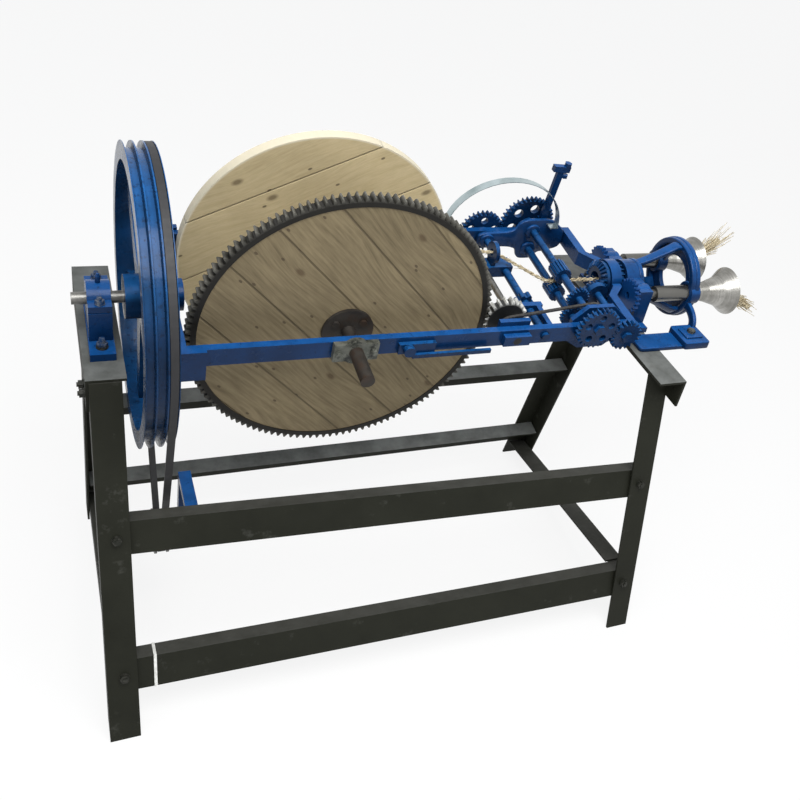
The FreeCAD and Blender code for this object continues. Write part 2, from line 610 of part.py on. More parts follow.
for name, sign in (("front_reel_bearing", -1), ("back_reel_bearing", 1)):
    y = -YB - 14 if sign < 0 else YB
    block = join([box(96, 14, 44, -48, 0, -22), cyl(30, 14, 0, 14, 0, FACE_FRONT)])
    ears = [bolt(x, 0, 0, 13, 6, 0, FACE_FRONT if sign < 0 else Y_BACK) for x in (-38, 38)]
    for e in ears:
        e.Placement.Base.y = 0 if sign < 0 else 14
    block = cut(block, [cyl(15.06, 60, 0, 40, 0, FACE_FRONT)])
    keep(join([block] + ears), name, ROTOR, P["reel_x"], y)

# Pinion that turns the ring gear, driven by the short chain
MESH_Y = -DY + 1
pinion = gear(P["pinion_teeth"], P["ring_module"], "pinion_w", math.pi + math.pi / P["pinion_teeth"],
              Placement(V(0, MESH_Y, 0), FACE_FRONT))
driven = gear(P["sprocket_teeth"], SPROCKET_M, 5, 0, Placement(V(0, -BY + 20, 0), FACE_FRONT), 0.34)
pinion = join([pinion, driven, cyl(9.9, YB + 14 - 114, 0, -114, 0, FACE_FRONT)])
keep(pinion, "reel_pinion", ROTOR, NX)
clamp = join([box(76, 12, 66, -38, -BY, -33), box(66, 14, 26, -33, -YB - 14, -13)])
clamp = cut(clamp, [cyl(10, 150, 0, -100, 0, FACE_FRONT)])
keep(clamp, "pinion_bracket", ROTOR, NX)
chain = new("Part::Feature", "chain")
chain.Shape = belt_loop(35, 35, AX - NX, FZ, 4.5, 7)
keep(chain, "reel_chain", ROTOR, NX, -BY + 21, 0, Rotation(V(0, 0, 1), -90))

# Traverse: screw with gear D, guide rod, bracket and sliding carriage
d_wheel = gear(P["gear_d_teeth"], 4, "gear_w", e_lean + math.pi + math.pi / P["gear_d_teeth"],
               Placement(V(0, YB + 8 + P["gear_w"], 0), FACE_FRONT))
d_wheel = cut(d_wheel, web_holes(56, 5, YB + 60, 60))
KNOB_Y, KNOB_R, KNOB_W = -64, 17, 18
knob = [cyl(KNOB_R, KNOB_W, 0, KNOB_Y, 0, FACE_FRONT)]
for i in range(6):
    a = math.pi * i / 3
    knob.append(cyl(6, KNOB_W, KNOB_R * math.cos(a), KNOB_Y, KNOB_R * math.sin(a), FACE_FRONT))
screw = join([d_wheel, cyl(9.9, 2 * YB + 34, 0, YB + 26, 0, FACE_FRONT),
              cyl(18, 6, 0, YB + 8.5, 0, FACE_FRONT)] + knob)
keep(screw, "traverse_screw", ROTOR, SX)
hold = join([box(104, 14, 34, -20, -112, -17), box(12, BY - 98, 17, 66, -BY, 0)])
hold = cut(hold, [cyl(8, 40, 0, -85, 0, FACE_FRONT), cyl(10, 40, SX - GX, -85, 0, FACE_FRONT)])
keep(hold, "traverse_bracket", ROTOR, GX)
keep(cyl(8, BY + 110, 0, BY, 0, FACE_FRONT), "guide_rod", ROTOR, GX)
slide = join([box(86, 40, 30, -16, -20, -15), cyl(16, 46, 0, 23, 0, FACE_FRONT), box(10, 30, 40, 12, -15, 0),
              cyl(27, 10, 12, 0, 46, X_UP)])
slide = cut(slide, [cyl(8.06, 80, 0, 40, 0, FACE_FRONT), cyl(10.4, 80, SX - GX, 40, 0, FACE_FRONT),
                    cyl(9, 60, 0, 0, 46, X_UP)])
keep(slide, "guide_carriage", ROTOR, GX, 60)

# Tension lever over the back bar, and the spring strip beside the rollers
LX, LZ = 1118, BH / 2 + 18
lever = join([cyl(13, 10, 0, 0, 0, Y_BACK), box(18, 10, 160, -9, 0, 0), box(46, 14, 16, -23, -2, 156),
              hexagon(17, 9, 15, 5, 172), hexagon(17, 9, 15, 5, 140)])
lever = cut(lever, [cyl(6, 60, 0, -10, 0, Y_BACK)])
keep(lever, "tension_lever", ROTOR, LX, BY + 3, LZ, Rotation(V(0, 1, 0), 3))
pin = join([cyl(5.9, 20, 0, -2, 0, Y_BACK), box(22, 21, 4, -8, -3, -18), box(18, 6, 32, -8, 12, -18)])
keep(pin, "lever_pivot", ROTOR, LX, BY + 3, LZ)

outer = [(-158, -36), (-158, 0)]
inner_pts = [(-156.4, -36), (-156.4, 0)]
for i in range(1, 24):
    a = math.pi * i / 24
    outer.append((-158 * math.cos(a), 135 * math.sin(a)))
    inner_pts.append((-156.4 * math.cos(a), 133.4 * math.sin(a)))
outer.append((158, 0))
inner_pts.append((156.4, 0))
strip = profile(outer + list(reversed(inner_pts)), 22, Placement(V(0, 22, 0), FACE_FRONT))
feet = [box(26, 34, 3, -158, 0, -36), box(24, 22, 3, 136, 0, -3)]
keep(join([strip] + feet), "spring_strip", ROTOR, 987, 150, BH / 2 + 31)

latch = join([box(84, 10, 26, -42, -10, -13), cyl(13, 22, -20, 0, 0, FACE_FRONT), box(186, 7, 10, -10, -17, -22)])
keep(latch, "brake_latch", ROTOR, 650, -YB, -4)

# Right housing on the stand, cage with its discs and base
DZ = P["axis_z"] - TOP
house = join([box(59, 264, 14, -21, -132, -DZ), box(38, 216, 106, 0, -108, -DZ),
              cyl(48, 38, 0, 0, 0, X_UP)] + [cyl(28, 38, 0, y, 0, X_UP) for y in (-80, 80)])
house = cut(house, [cyl("sleeve_r", 100, -20, 0, 0, X_UP)] + [cyl(6.5, 60, -5.5, y, -DZ - 20) for y in (-118, 118)] +
            [cyl(12.06, 100, -20, y, 0, X_UP) for y in (-80, 80)])
HOUSE_X = 1268
keep(house, "right_housing", STAND, HOUSE_X, 0, P["axis_z"])
X0, X1 = P["cage_x0"], P["cage_x1"]
plates = [cyl("cage_r", 10, 0, 0, 0, X_UP), cyl("cage_r", 12, X1 - X0, 0, 0, X_UP)]
REACH = X0 - HOUSE_X - 38
ties = [cyl(9, X1 - X0 + 5, 0, 92 * math.cos(a), 92 * math.sin(a), X_UP)
        for a in (math.radians(90), math.radians(230), math.radians(310))]
arms = [box(REACH + 6, 20, 18, -REACH, y, -60) for y in (-46, 26)]
arms += [box(REACH + 6, 26, 14, -REACH, -13, 33)]
cage = join(plates + ties + arms)
cage = cut(cage, [cyl(26, 300, -10, 0, 0, X_UP)] + [cyl(P["bell_r"] + 0.06, 300, -10, y, 0, X_UP) for y in (-80, 80)])
keep(cage, "feeder_cage", STAND, X0, 0, P["axis_z"])
base = join([box(X1 - 1240, 60, 10, 0, -30, 0), box(76, 80, 14, X1 - 1316, -40, 10),
             box(14, 60, 40, X1 - 1250, -30, 10)])
keep(base, "feeder_base", STAND, 1240, -182, TOP)


def bell(name, y):
    end = P["bell_end_x"] - GEAR_X
    neck = X1 - GEAR_X + 20
    outline = [(0, 9), (0, 12), (80, 12), (80, P["bell_r"]), (neck, P["bell_r"]), (end - 70, 27), (end - 30, 40),
               (end, P["bell_mouth_r"]), (end, P["bell_mouth_r"] - 3), (end - 30, 37), (end - 70, 24), (neck, 16),
               (90, 16), (80, 9)]
    horn = spun(outline)
    wheel = gear(20, 4, 12, 0 if y > 0 else math.pi, None)
    wheel.Placement = Placement(V(0, 0, 0), X_UP * Rotation(V(0, 0, 1), 90))
    solid = cut(join([horn, wheel]), [cyl(9, 60, -20, 0, 0, X_UP)])
    keep(solid, name, STAND, GEAR_X, y, P["axis_z"])


bell("front_bell", -P["bell_y"])
bell("rear_bell", P["bell_y"])

# Soft goods: drawn rope and straw in the bells


def cord(name, points, radius, parent, trims):
    """Round cord over a line of points; each corner is a tangent arc that starts a trim before it."""
    pts = [V(*p) for p in points]
    edges = []
    start = pts[0]
    for i in range(1, len(pts) - 1):
        a, b, c = pts[i - 1], pts[i], pts[i + 1]
        u = (a - b).normalize()
        w = (c - b).normalize()
        half = math.acos(max(-1, min(1, -u.dot(w)))) / 2
        trim = trims[i - 1]
        p1 = b + u * trim
        p2 = b + w * trim
        mid_dir = (u + w).normalize()
        r = trim / math.tan(half)
        centre_dist = r / math.cos(half)
        print("%s bend radius %.1f mm" % (name, r))
        mid = b + mid_dir * (centre_dist - r)
        edges.append(Part.makeLine(start, p1))
        edges.append(Part.Arc(p1, mid, p2).toShape())
        start = p2
    edges.append(Part.makeLine(start, pts[-1]))
    path = Part.Wire(edges)
    ring = Part.Wire(Part.makeCircle(radius, pts[0], pts[1] - pts[0]))
    f = new("Part::Feature", "cord")
    f.Shape = path.makePipeShell([ring], True, False)
    keep(f, name, parent)


RUN = (AX - 34 - GX - 28) / (AX - 34 - GX - 17)
cord("straw_rope", [(1262, 0, 0), (AX - 34, 0, 0), (GX + 28, 60 * RUN, 46 * RUN)], 4.5, ROTOR, (12,))
cord("winding_rope", [(GX + 25, 60, 45.5), (514, 60, 75.2)], 4.5, ROTOR, ())
for name, y, points in (
        ("front_straw", -80, [(1372, 0, 0), (1500, 0, 0), (1580, -10, -4), (1648, -12, -22)]),
        ("rear_straw", 80, [(1372, 0, 0), (1500, 0, 0), (1580, -6, 8), (1636, 4, 26)])):
    cord(name, [(x, y + b, P["axis_z"] + c) for x, b, c in points], 8, STAND, (25, 22))

doc.recompute()
bad = []
for o in doc.Objects:
    if "Invalid" in o.State or "Error" in o.State:
        bad.append(o.Label)
for o in PARTS:
    if o.Shape.isNull() or not o.Shape.isValid():
        bad.append("shape of " + o.Label)
if bad:
    raise RuntimeError("not sound: " + ", ".join(bad))
for o in PARTS:
    o.Shape.exportStep("parts/%s.step" % o.Label)
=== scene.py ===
# %% [markdown]
# # A straw rope making machine, dressed for a studio picture
#
# The construction arrives as a frame of finished solids: an angle iron stand, a turning
# frame with a big plank reel, gears, drawing rollers and two feed bells. This lesson gives
# each of them its finish, replaces the plain cords by real twisted straw, and sets the
# camera, the floor and the lights. Everything is in metres.

# %% Load the frame
import math
import bmesh
import bpy
import numpy as np
from mathutils import Matrix, Vector, geometry


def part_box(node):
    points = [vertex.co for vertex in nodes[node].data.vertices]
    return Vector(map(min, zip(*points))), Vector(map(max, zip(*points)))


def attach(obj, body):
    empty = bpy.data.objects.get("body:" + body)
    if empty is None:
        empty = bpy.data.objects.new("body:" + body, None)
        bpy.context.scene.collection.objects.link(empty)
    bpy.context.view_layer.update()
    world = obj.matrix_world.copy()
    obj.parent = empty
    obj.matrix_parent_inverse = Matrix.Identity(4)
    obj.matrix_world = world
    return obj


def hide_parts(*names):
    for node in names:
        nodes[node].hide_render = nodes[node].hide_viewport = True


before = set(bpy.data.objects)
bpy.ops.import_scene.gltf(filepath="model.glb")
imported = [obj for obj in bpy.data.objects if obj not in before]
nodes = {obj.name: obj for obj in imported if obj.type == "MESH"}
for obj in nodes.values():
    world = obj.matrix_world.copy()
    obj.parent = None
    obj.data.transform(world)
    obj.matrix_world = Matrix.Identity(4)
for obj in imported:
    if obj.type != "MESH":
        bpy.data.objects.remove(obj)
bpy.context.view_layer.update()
print("pieces in the frame:", len(nodes))

# %% [markdown]
# ## Places on the machine
#
# The turning frame stands a few degrees off level, as it stopped. Patterns that follow the
# reel or the gears need its axis, so a few measured places come first: the height of the main
# axis, the tilt, the frame's origin as seen from the left bar, and how far along the reel is.
# A small function turns a place on the level frame into the place where it really stands.

# %% Measured places
AXIS_Z = 0.803
TILT = math.radians(5.5)
ORIGIN = np.array([0.77325, -0.082, 0.0])
REEL_X = 0.513


def on_rotor(x, y, z):
    """Turn (y, z) by the tilt about the main axis, then lift by the axis height; takes arrays too."""
    c, s = math.cos(TILT), math.sin(TILT)
    return np.stack(np.broadcast_arrays(x, y * c - z * s, y * s + z * c + AXIS_Z), axis=-1) - ORIGIN


def on_stand(x, y, z):
    """Place on the stand, counted from the left bar, the turning axis and the floor."""
    return np.array([x, y, z]) - ORIGIN


reel_centre = on_rotor(REEL_X, 0.0, 0.0)
print("reel centre", np.round(reel_centre, 3))

# %% [markdown]
# ## A small kit for materials
#
# A finish is a graph of nodes. Writing each link by hand hides the idea, so a short kit
# makes a node, sets its inputs and joins it on. Every pattern reads Object coordinates,
# because the finished model is turned and moved, and a pattern on the view would slide.

# %% Node kit


class Finish:
    """One material with helpers that add nodes and return their outputs."""

    def __init__(self, name):
        self.material = bpy.data.materials.new(name)
        self.material.use_nodes = True
        self.tree = self.material.node_tree
        self.tree.nodes.clear()
        self.out = self.tree.nodes.new("ShaderNodeOutputMaterial")
        self.shader = self.tree.nodes.new("ShaderNodeBsdfPrincipled")
        self.tree.links.new(self.shader.outputs[0], self.out.inputs[0])
        self.where = self.tree.nodes.new("ShaderNodeTexCoord").outputs["Object"]

    def node(self, kind, **settings):
        n = self.tree.nodes.new(kind)
        for key, value in settings.items():
            setattr(n, key, value)
        return n

    def feed(self, socket, value):
        if isinstance(value, bpy.types.NodeSocket):
            self.tree.links.new(value, socket)
        else:
            socket.default_value = value

    def mapped(self, place=(0, 0, 0), turn=(0, 0, 0), scale=(1, 1, 1), source=None):
        n = self.node("ShaderNodeMapping")
        self.feed(n.inputs["Vector"], source or self.where)
        n.inputs["Location"].default_value = place
        n.inputs["Rotation"].default_value = turn
        n.inputs["Scale"].default_value = scale
        return n.outputs[0]

    def noise(self, scale, detail=4.0, rough=0.6, source=None):
        n = self.node("ShaderNodeTexNoise")
        self.feed(n.inputs["Vector"], source or self.where)
        n.inputs["Scale"].default_value = scale
        n.inputs["Detail"].default_value = detail
        n.inputs["Roughness"].default_value = rough
        return n.outputs[0]

    def ramp(self, value, stops):
        n = self.node("ShaderNodeValToRGB")
        self.feed(n.inputs[0], value)
        bar = n.color_ramp
        while len(bar.elements) < len(stops):
            bar.elements.new(0.5)
        for element, (at, colour) in zip(bar.elements, stops):
            element.position = at
            if isinstance(colour, (int, float)):
                colour = (colour, colour, colour)
            element.color = (*colour, 1.0)
        return n.outputs[0]

    def maths(self, how, a, b=0.0, c=0.0):
        n = self.node("ShaderNodeMath", operation=how)
        for socket, value in zip(n.inputs, (a, b, c)):
            self.feed(socket, value)
        return n.outputs[0]

    def mix(self, factor, a, b, how="MIX"):
        n = self.node("ShaderNodeMix", data_type="RGBA", blend_type=how)
        self.feed(n.inputs["Factor"], factor)
        for socket, value in ((n.inputs[6], a), (n.inputs[7], b)):
            if isinstance(value, tuple) and len(value) == 3:
                value = (*value, 1.0)
            self.feed(socket, value)
        return n.outputs[2]

    def split(self, vector):
        n = self.node("ShaderNodeSeparateXYZ")
        self.feed(n.inputs[0], vector)
        return n.outputs

    def joined(self, x, y, z):
        n = self.node("ShaderNodeCombineXYZ")
        for socket, value in zip(n.inputs, (x, y, z)):
            self.feed(socket, value)
        return n.outputs[0]

    def from_axis(self, local):
        """Distance from the line along y: the root of x squared plus z squared."""
        parts = self.split(local)
        squares = [self.maths("MULTIPLY", parts[k], parts[k]) for k in (0, 2)]
        return self.maths("SQRT", self.maths("ADD", *squares))

    def looks_up(self):
        """How far a face looks up: the height part of its normal, from -1 to 1."""
        return self.split(self.node("ShaderNodeNewGeometry").outputs["Normal"])[2]

    def bump(self, height, strength, distance):
        n = self.node("ShaderNodeBump")
        self.feed(n.inputs["Height"], height)
        n.inputs["Strength"].default_value = strength
        n.inputs["Distance"].default_value = distance
        self.tree.links.new(n.outputs[0], self.shader.inputs["Normal"])

    def surface(self, **inputs):
        names = {"colour": "Base Color", "rough": "Roughness", "metal": "Metallic", "coat": "Coat Weight",
                 "coat_rough": "Coat Roughness", "specular": "Specular IOR Level"}
        for key, value in inputs.items():
            if isinstance(value, tuple) and len(value) == 3:
                value = (*value, 1.0)
            self.feed(self.shader.inputs[names[key]], value)
        return self.material


def dress(material, *names):
    """Give CAD nodes one material all over."""
    for name in names:
        slots = nodes[name].data.materials
        slots.clear()
        slots.append(material)


print("kit of", len([name for name in vars(Finish) if not name.startswith("_")]), "helpers for finishes")

# %% [markdown]
# ## Blue gloss paint
#
# The castings and the flat bars are brushed with royal blue enamel. Real enamel is not one
# colour: it is thinner on edges and marked where hands and spanners meet it. Upward faces get
# a painted highlight, and faces that look sideways or down get painted shade. Low noise shifts
# the blue, a finer one chips it, and a thin coat gives the gloss.

# %% Blue paint


def blue_enamel(name, deep, bright, painted_highlight, wear=0.60):
    """Deep to bright blue by noise, a painted highlight on top, painted shade on the sides and below, chipped
    where the noise passes wear.
    """
    f = Finish(name)
    broad = f.noise(11.0, 3.0)
    tone = f.ramp(broad, ((0.34, deep), (0.66, bright)))
    facing = f.looks_up()
    # painted highlight: faces that look up blend toward a pale sky blue
    upward = f.ramp(facing, ((0.30, 0.0), (0.95, 0.62)))
    patch = f.ramp(f.noise(26.0, 3.0), ((0.35, 0.45), (0.65, 1.0)))
    tone = f.mix(f.maths("MULTIPLY", upward, patch), tone, painted_highlight)
    # painted shade: faces that look sideways or down blend toward dark navy
    under = f.ramp(facing, ((0.30, 1.0), (0.5, 0.0)))
    tone = f.mix(f.maths("MULTIPLY", under, 0.6), tone, (0.0015, 0.010, 0.035))
    chips = f.ramp(f.noise(85.0, 6.0, 0.7), ((wear, 0.0), (wear + 0.04, 1.0)))
    tone = f.mix(f.maths("MULTIPLY", chips, 0.55), tone, (0.003, 0.008, 0.022))
    rough = f.ramp(f.noise(24.0, 4.0), ((0.3, 0.17), (0.8, 0.36)))
    f.bump(f.noise(120.0, 2.0), 0.22, 0.0015)
    return f.surface(colour=tone, rough=rough, specular=0.15, coat=0.05, coat_rough=0.08)


blue = blue_enamel("blue_enamel", deep=(0.0025, 0.026, 0.095), bright=(0.0045, 0.052, 0.190),
                   painted_highlight=(0.010, 0.098, 0.33))
# a darker copy of the blue: its extra chips are wear, its darker tone is painted shade
blue_dark = blue_enamel("blue_enamel_worn_and_shaded", deep=(0.0022, 0.018, 0.060), bright=(0.0040, 0.040, 0.140),
                        painted_highlight=(0.012, 0.110, 0.33), wear=0.56)
blue_wheel = blue_enamel("blue_wheel", deep=(0.0040, 0.030, 0.080), bright=(0.0070, 0.062, 0.190),
                         painted_highlight=(0.012, 0.105, 0.32), wear=0.57)
dress(blue, "frame_end_bar", "front_bar", "back_bar", "yoke", "front_bearing_plate", "back_bearing_plate",
      "pinion_bracket", "traverse_bracket", "pillow_foot", "pillow_cap", "right_housing", "feeder_cage",
      "tension_lever", "lever_pivot", "pulley_bracket", "feeder_base")
dress(blue_wheel, "drive_wheel")
dress(blue_dark, "brake_latch", "guide_carriage", "hub_gear", "front_cross_shaft", "lower_roller",
      "upper_roller", "traverse_screw")
print("blue pieces done")

# %% [markdown]
# ## Stand paint
#
# The angle irons carry a dark olive grey paint. Their upward faces look pale, because dust
# settles there and the light comes from above, so the paint blends to a lighter tone by how
# far a face looks up. Mill scale and drips give a faint unevenness.

# %% Stand paint


def stand_paint(name, dust_and_top_light_tone, most):
    """Dark paint blended to a paler tone by how far a face looks up, partly dust and partly painted light
    from above, with smudges and scratches.
    """
    f = Finish(name)
    broad = f.noise(7.0, 5.0)
    tone = f.ramp(broad, ((0.30, (0.0130, 0.0136, 0.0095)), (0.75, (0.0200, 0.0208, 0.0150))))
    # paler upward faces: partly dust, partly painted light from above
    dust_and_top_light = f.ramp(f.looks_up(), ((0.55, 0.0), (0.95, most)))
    patch = f.ramp(f.noise(16.0, 4.0), ((0.30, 0.45), (0.65, 1.0)))
    tone = f.mix(f.maths("MULTIPLY", dust_and_top_light, patch), tone, dust_and_top_light_tone)
    smudge = f.ramp(f.noise(19.0, 5.0, 0.7), ((0.60, 0.0), (0.72, 0.35)))
    tone = f.mix(smudge, tone, (0.085, 0.085, 0.075))
    scratch = f.ramp(f.noise(70.0, 8.0, 0.8), ((0.66, 0.0), (0.72, 0.5)))
    tone = f.mix(scratch, tone, (0.060, 0.058, 0.048))
    f.bump(f.noise(110.0, 3.0), 0.18, 0.001)
    return f.surface(colour=tone, rough=f.ramp(broad, ((0.2, 0.45), (0.8, 0.65))), specular=0.10)


dusty_top_lit = stand_paint("stand_paint_dusty_top_lit", (0.165, 0.172, 0.165), 1.0)
clean = stand_paint("stand_paint", (0.060, 0.060, 0.053), 0.8)
dress(dusty_top_lit, "left_top_bar", "right_top_bar", "back_mid_rail", "back_bottom_rail")
dress(clean, "front_left_leg", "front_right_leg", "back_left_leg", "back_right_leg", "front_mid_rail",
      "front_bottom_rail", "left_brace", "right_brace")
print("stand painted: four dusty bars, eight plain ones")

# %% [markdown]
# ## Bare steel, iron, rubber and aluminium
#
# Small metal parts differ mostly in colour and roughness: oiled shafts are dark and smooth,
# rusty ones brown and matt, the gears black with paler tips: worn on the ring gear, a painted
# highlight on the pinion.

# %% Metals and rubber
BOLT_PAINT_TOP = 0.742
BELL_GEAR_END = 1.2650 - ORIGIN[0]
BELL_TUBE_END = 0.680


def metal(name, dark, light, rough=(0.30, 0.50), metallic=0.9, grain=45.0, spots=None):
    """Dark to light by noise of one grain, with darker or rusty spots where they are given."""
    f = Finish(name)
    tone = f.ramp(f.noise(grain, 5.0), ((0.3, dark), (0.7, light)))
    if spots:
        where = f.ramp(f.noise(grain * 0.6, 6.0, 0.75), ((0.48, 0.0), (0.60, 1.0)))
        tone = f.mix(where, tone, spots)
    f.bump(f.noise(grain * 5, 3.0), 0.12, 0.0008)
    return f.surface(colour=tone, rough=f.ramp(f.noise(grain, 3.0), ((0.3, rough[0]), (0.7, rough[1]))),
                     metal=metallic)


def steel_bolts():
    """Bolts are brushed over with the stand's paint, but bare where they hold the castings."""
    f = Finish("painted_bolts")
    height = f.split(f.where)[2]
    bare = f.ramp(height, ((BOLT_PAINT_TOP, 0.0), (BOLT_PAINT_TOP + 0.008, 1.0)))
    wear_and_painted_highlight = f.ramp(f.noise(140.0, 4.0), ((0.45, 0.0), (0.62, 0.6)))
    paint = f.mix(wear_and_painted_highlight, (0.016, 0.017, 0.013), (0.060, 0.058, 0.050))
    tone = f.mix(bare, paint, f.mix(wear_and_painted_highlight, (0.010, 0.040, 0.110), (0.210, 0.210, 0.200)))
    f.bump(f.noise(240.0, 2.0), 0.15, 0.0008)
    rough = f.ramp(f.noise(90.0), ((0.3, 0.35), (0.7, 0.55)))
    return f.surface(colour=tone, rough=rough, metal=0.15, specular=0.2)


def bell_finish():
    """Spun aluminium trumpet and tube; the gear at its root is painted blue."""
    f = Finish("bell_aluminium")
    along = f.split(f.where)[0]
    spun = f.noise(300.0, 2.0, source=f.mapped(scale=(1.0, 0.04, 0.04)))
    sheen = f.ramp(spun, ((0.35, (0.30, 0.295, 0.275)), (0.65, (0.46, 0.45, 0.425))))
    dull = f.ramp(f.noise(22.0, 4.0), ((0.35, 0.25), (0.65, 1.0)))
    sheen = f.mix(dull, (0.17, 0.165, 0.15), sheen)
    tube = f.ramp(along, ((BELL_TUBE_END, 1.0), (BELL_TUBE_END + 0.008, 0.0)))
    sheen = f.mix(tube, sheen, (0.150, 0.148, 0.138))
    root = f.maths("LESS_THAN", along, BELL_GEAR_END)
    tone = f.mix(root, sheen, (0.0040, 0.040, 0.150))
    f.bump(spun, 0.10, 0.0005)
    bare = f.maths("MULTIPLY", f.maths("SUBTRACT", 1.0, root), 0.9)
    rough = f.ramp(f.noise(30.0, 3.0), ((0.3, 0.24), (0.7, 0.40)))
    return f.surface(colour=tone, rough=rough, metal=bare, specular=0.2)


steel = metal("oiled_steel", (0.12, 0.118, 0.11), (0.27, 0.265, 0.25))
rusty = metal("rusty_shaft", (0.012, 0.010, 0.009), (0.034, 0.029, 0.024), (0.45, 0.7), 0.35, 35.0,
              (0.030, 0.018, 0.011))
grey_iron = metal("grey_cast_iron", (0.055, 0.060, 0.050), (0.170, 0.175, 0.150), (0.40, 0.62), 0.45, 60.0,
                  (0.018, 0.020, 0.018))
bright = metal("bright_strip", (0.30, 0.37, 0.38), (0.52, 0.60, 0.62), (0.22, 0.38), 0.9, 20.0)
rubber = metal("belt_rubber", (0.006, 0.006, 0.007), (0.016, 0.016, 0.018), (0.5, 0.7), 0.0, 60.0)
chain_steel = metal("chain_steel", (0.03, 0.03, 0.03), (0.09, 0.085, 0.08), (0.35, 0.5), 0.8, 200.0)
dress(steel, "guide_rod", "main_shaft")
dress(blue_dark, "fixed_sleeve")
dress(grey_iron, "front_reel_bearing", "back_reel_bearing")
dress(rusty, "reel_shaft")
dress(bright, "spring_strip")
dress(steel_bolts(), "stand_bolts")
dress(bell_finish(), "front_bell", "rear_bell")
dress(rubber, "drive_belt")
dress(chain_steel, "reel_chain", "motor_pulley")
print("metals and rubber done; bell gears end at x =", round(float(BELL_GEAR_END), 4))


# %% [markdown]
# ## The ring gear
#
# The cast ring is black with oil in its gaps, and its teeth are grey where the pinion rubs
# them. Distance from the reel's centre tells tip from root, so the pattern stays in place on
# the gear while the reel turns.

# %% Ring gear


def gear_iron(name, centre, inner, outer, root, tip, metallic):
    """Share = (distance from the gear's axis - inner) / (outer - inner), from root tone to tip tone."""
    f = Finish(name)
    local = f.mapped(turn=(-TILT, 0, 0), source=f.mapped(place=tuple(-centre)))
    along = f.maths("DIVIDE", f.maths("SUBTRACT", f.from_axis(local), inner), outer - inner)
    # paler toward the tips: wear on the ring gear, a painted highlight on the pinion
    wear_and_painted_highlight = f.ramp(along, ((0.35, 0.0), (1.0, 1.0)))
    patch = f.ramp(f.noise(40.0, 5.0), ((0.30, 0.25), (0.65, 1.0)))
    tone = f.mix(f.maths("MULTIPLY", wear_and_painted_highlight, patch), root, tip)
    f.bump(f.noise(130.0, 4.0), 0.25, 0.001)
    rough = f.ramp(f.noise(50.0), ((0.3, 0.38), (0.7, 0.58)))
    return f.surface(colour=tone, rough=rough, metal=metallic, specular=0.3)


GEAR_DISTANCE = 0.375
pinion_centre = on_rotor(REEL_X + GEAR_DISTANCE, 0.0, 0.0)
ring_iron = gear_iron("ring_gear_iron", reel_centre, inner=0.312, outer=0.329,
                      root=(0.011, 0.010, 0.008), tip=(0.145, 0.140, 0.120), metallic=0.3)
# the pinion's near white tips are a painted highlight on its teeth
pinion_iron = gear_iron("pinion_iron", pinion_centre, inner=0.0405, outer=0.0500,
                        root=(0.012, 0.013, 0.014), tip=(0.80, 0.80, 0.76), metallic=0.25)
dress(ring_iron, "ring_gear")
dress(pinion_iron, "reel_pinion")
print("ring gear and pinion done, axes", GEAR_DISTANCE, "apart")

# %% [markdown]
# ## Planks
#
# The reel's discs are sawn from boards laid side by side. Across the boards, each has its
# own tone and a dark seam; along them runs the grain, stretched noise, with rings round the
# knots. One function serves both discs, with its own board angle, width and tone; the back
# disc's much paler tone is painted light.

# %% Planks
DISC_RIM = 0.3065


def cells(f, flat, scale):
    """Distance to the nearest of scattered points, on the boards' own plane."""
    n = f.node("ShaderNodeTexVoronoi", voronoi_dimensions="2D")
    f.feed(n.inputs["Vector"], flat)
    n.inputs["Scale"].default_value = scale
    return n.outputs["Distance"]


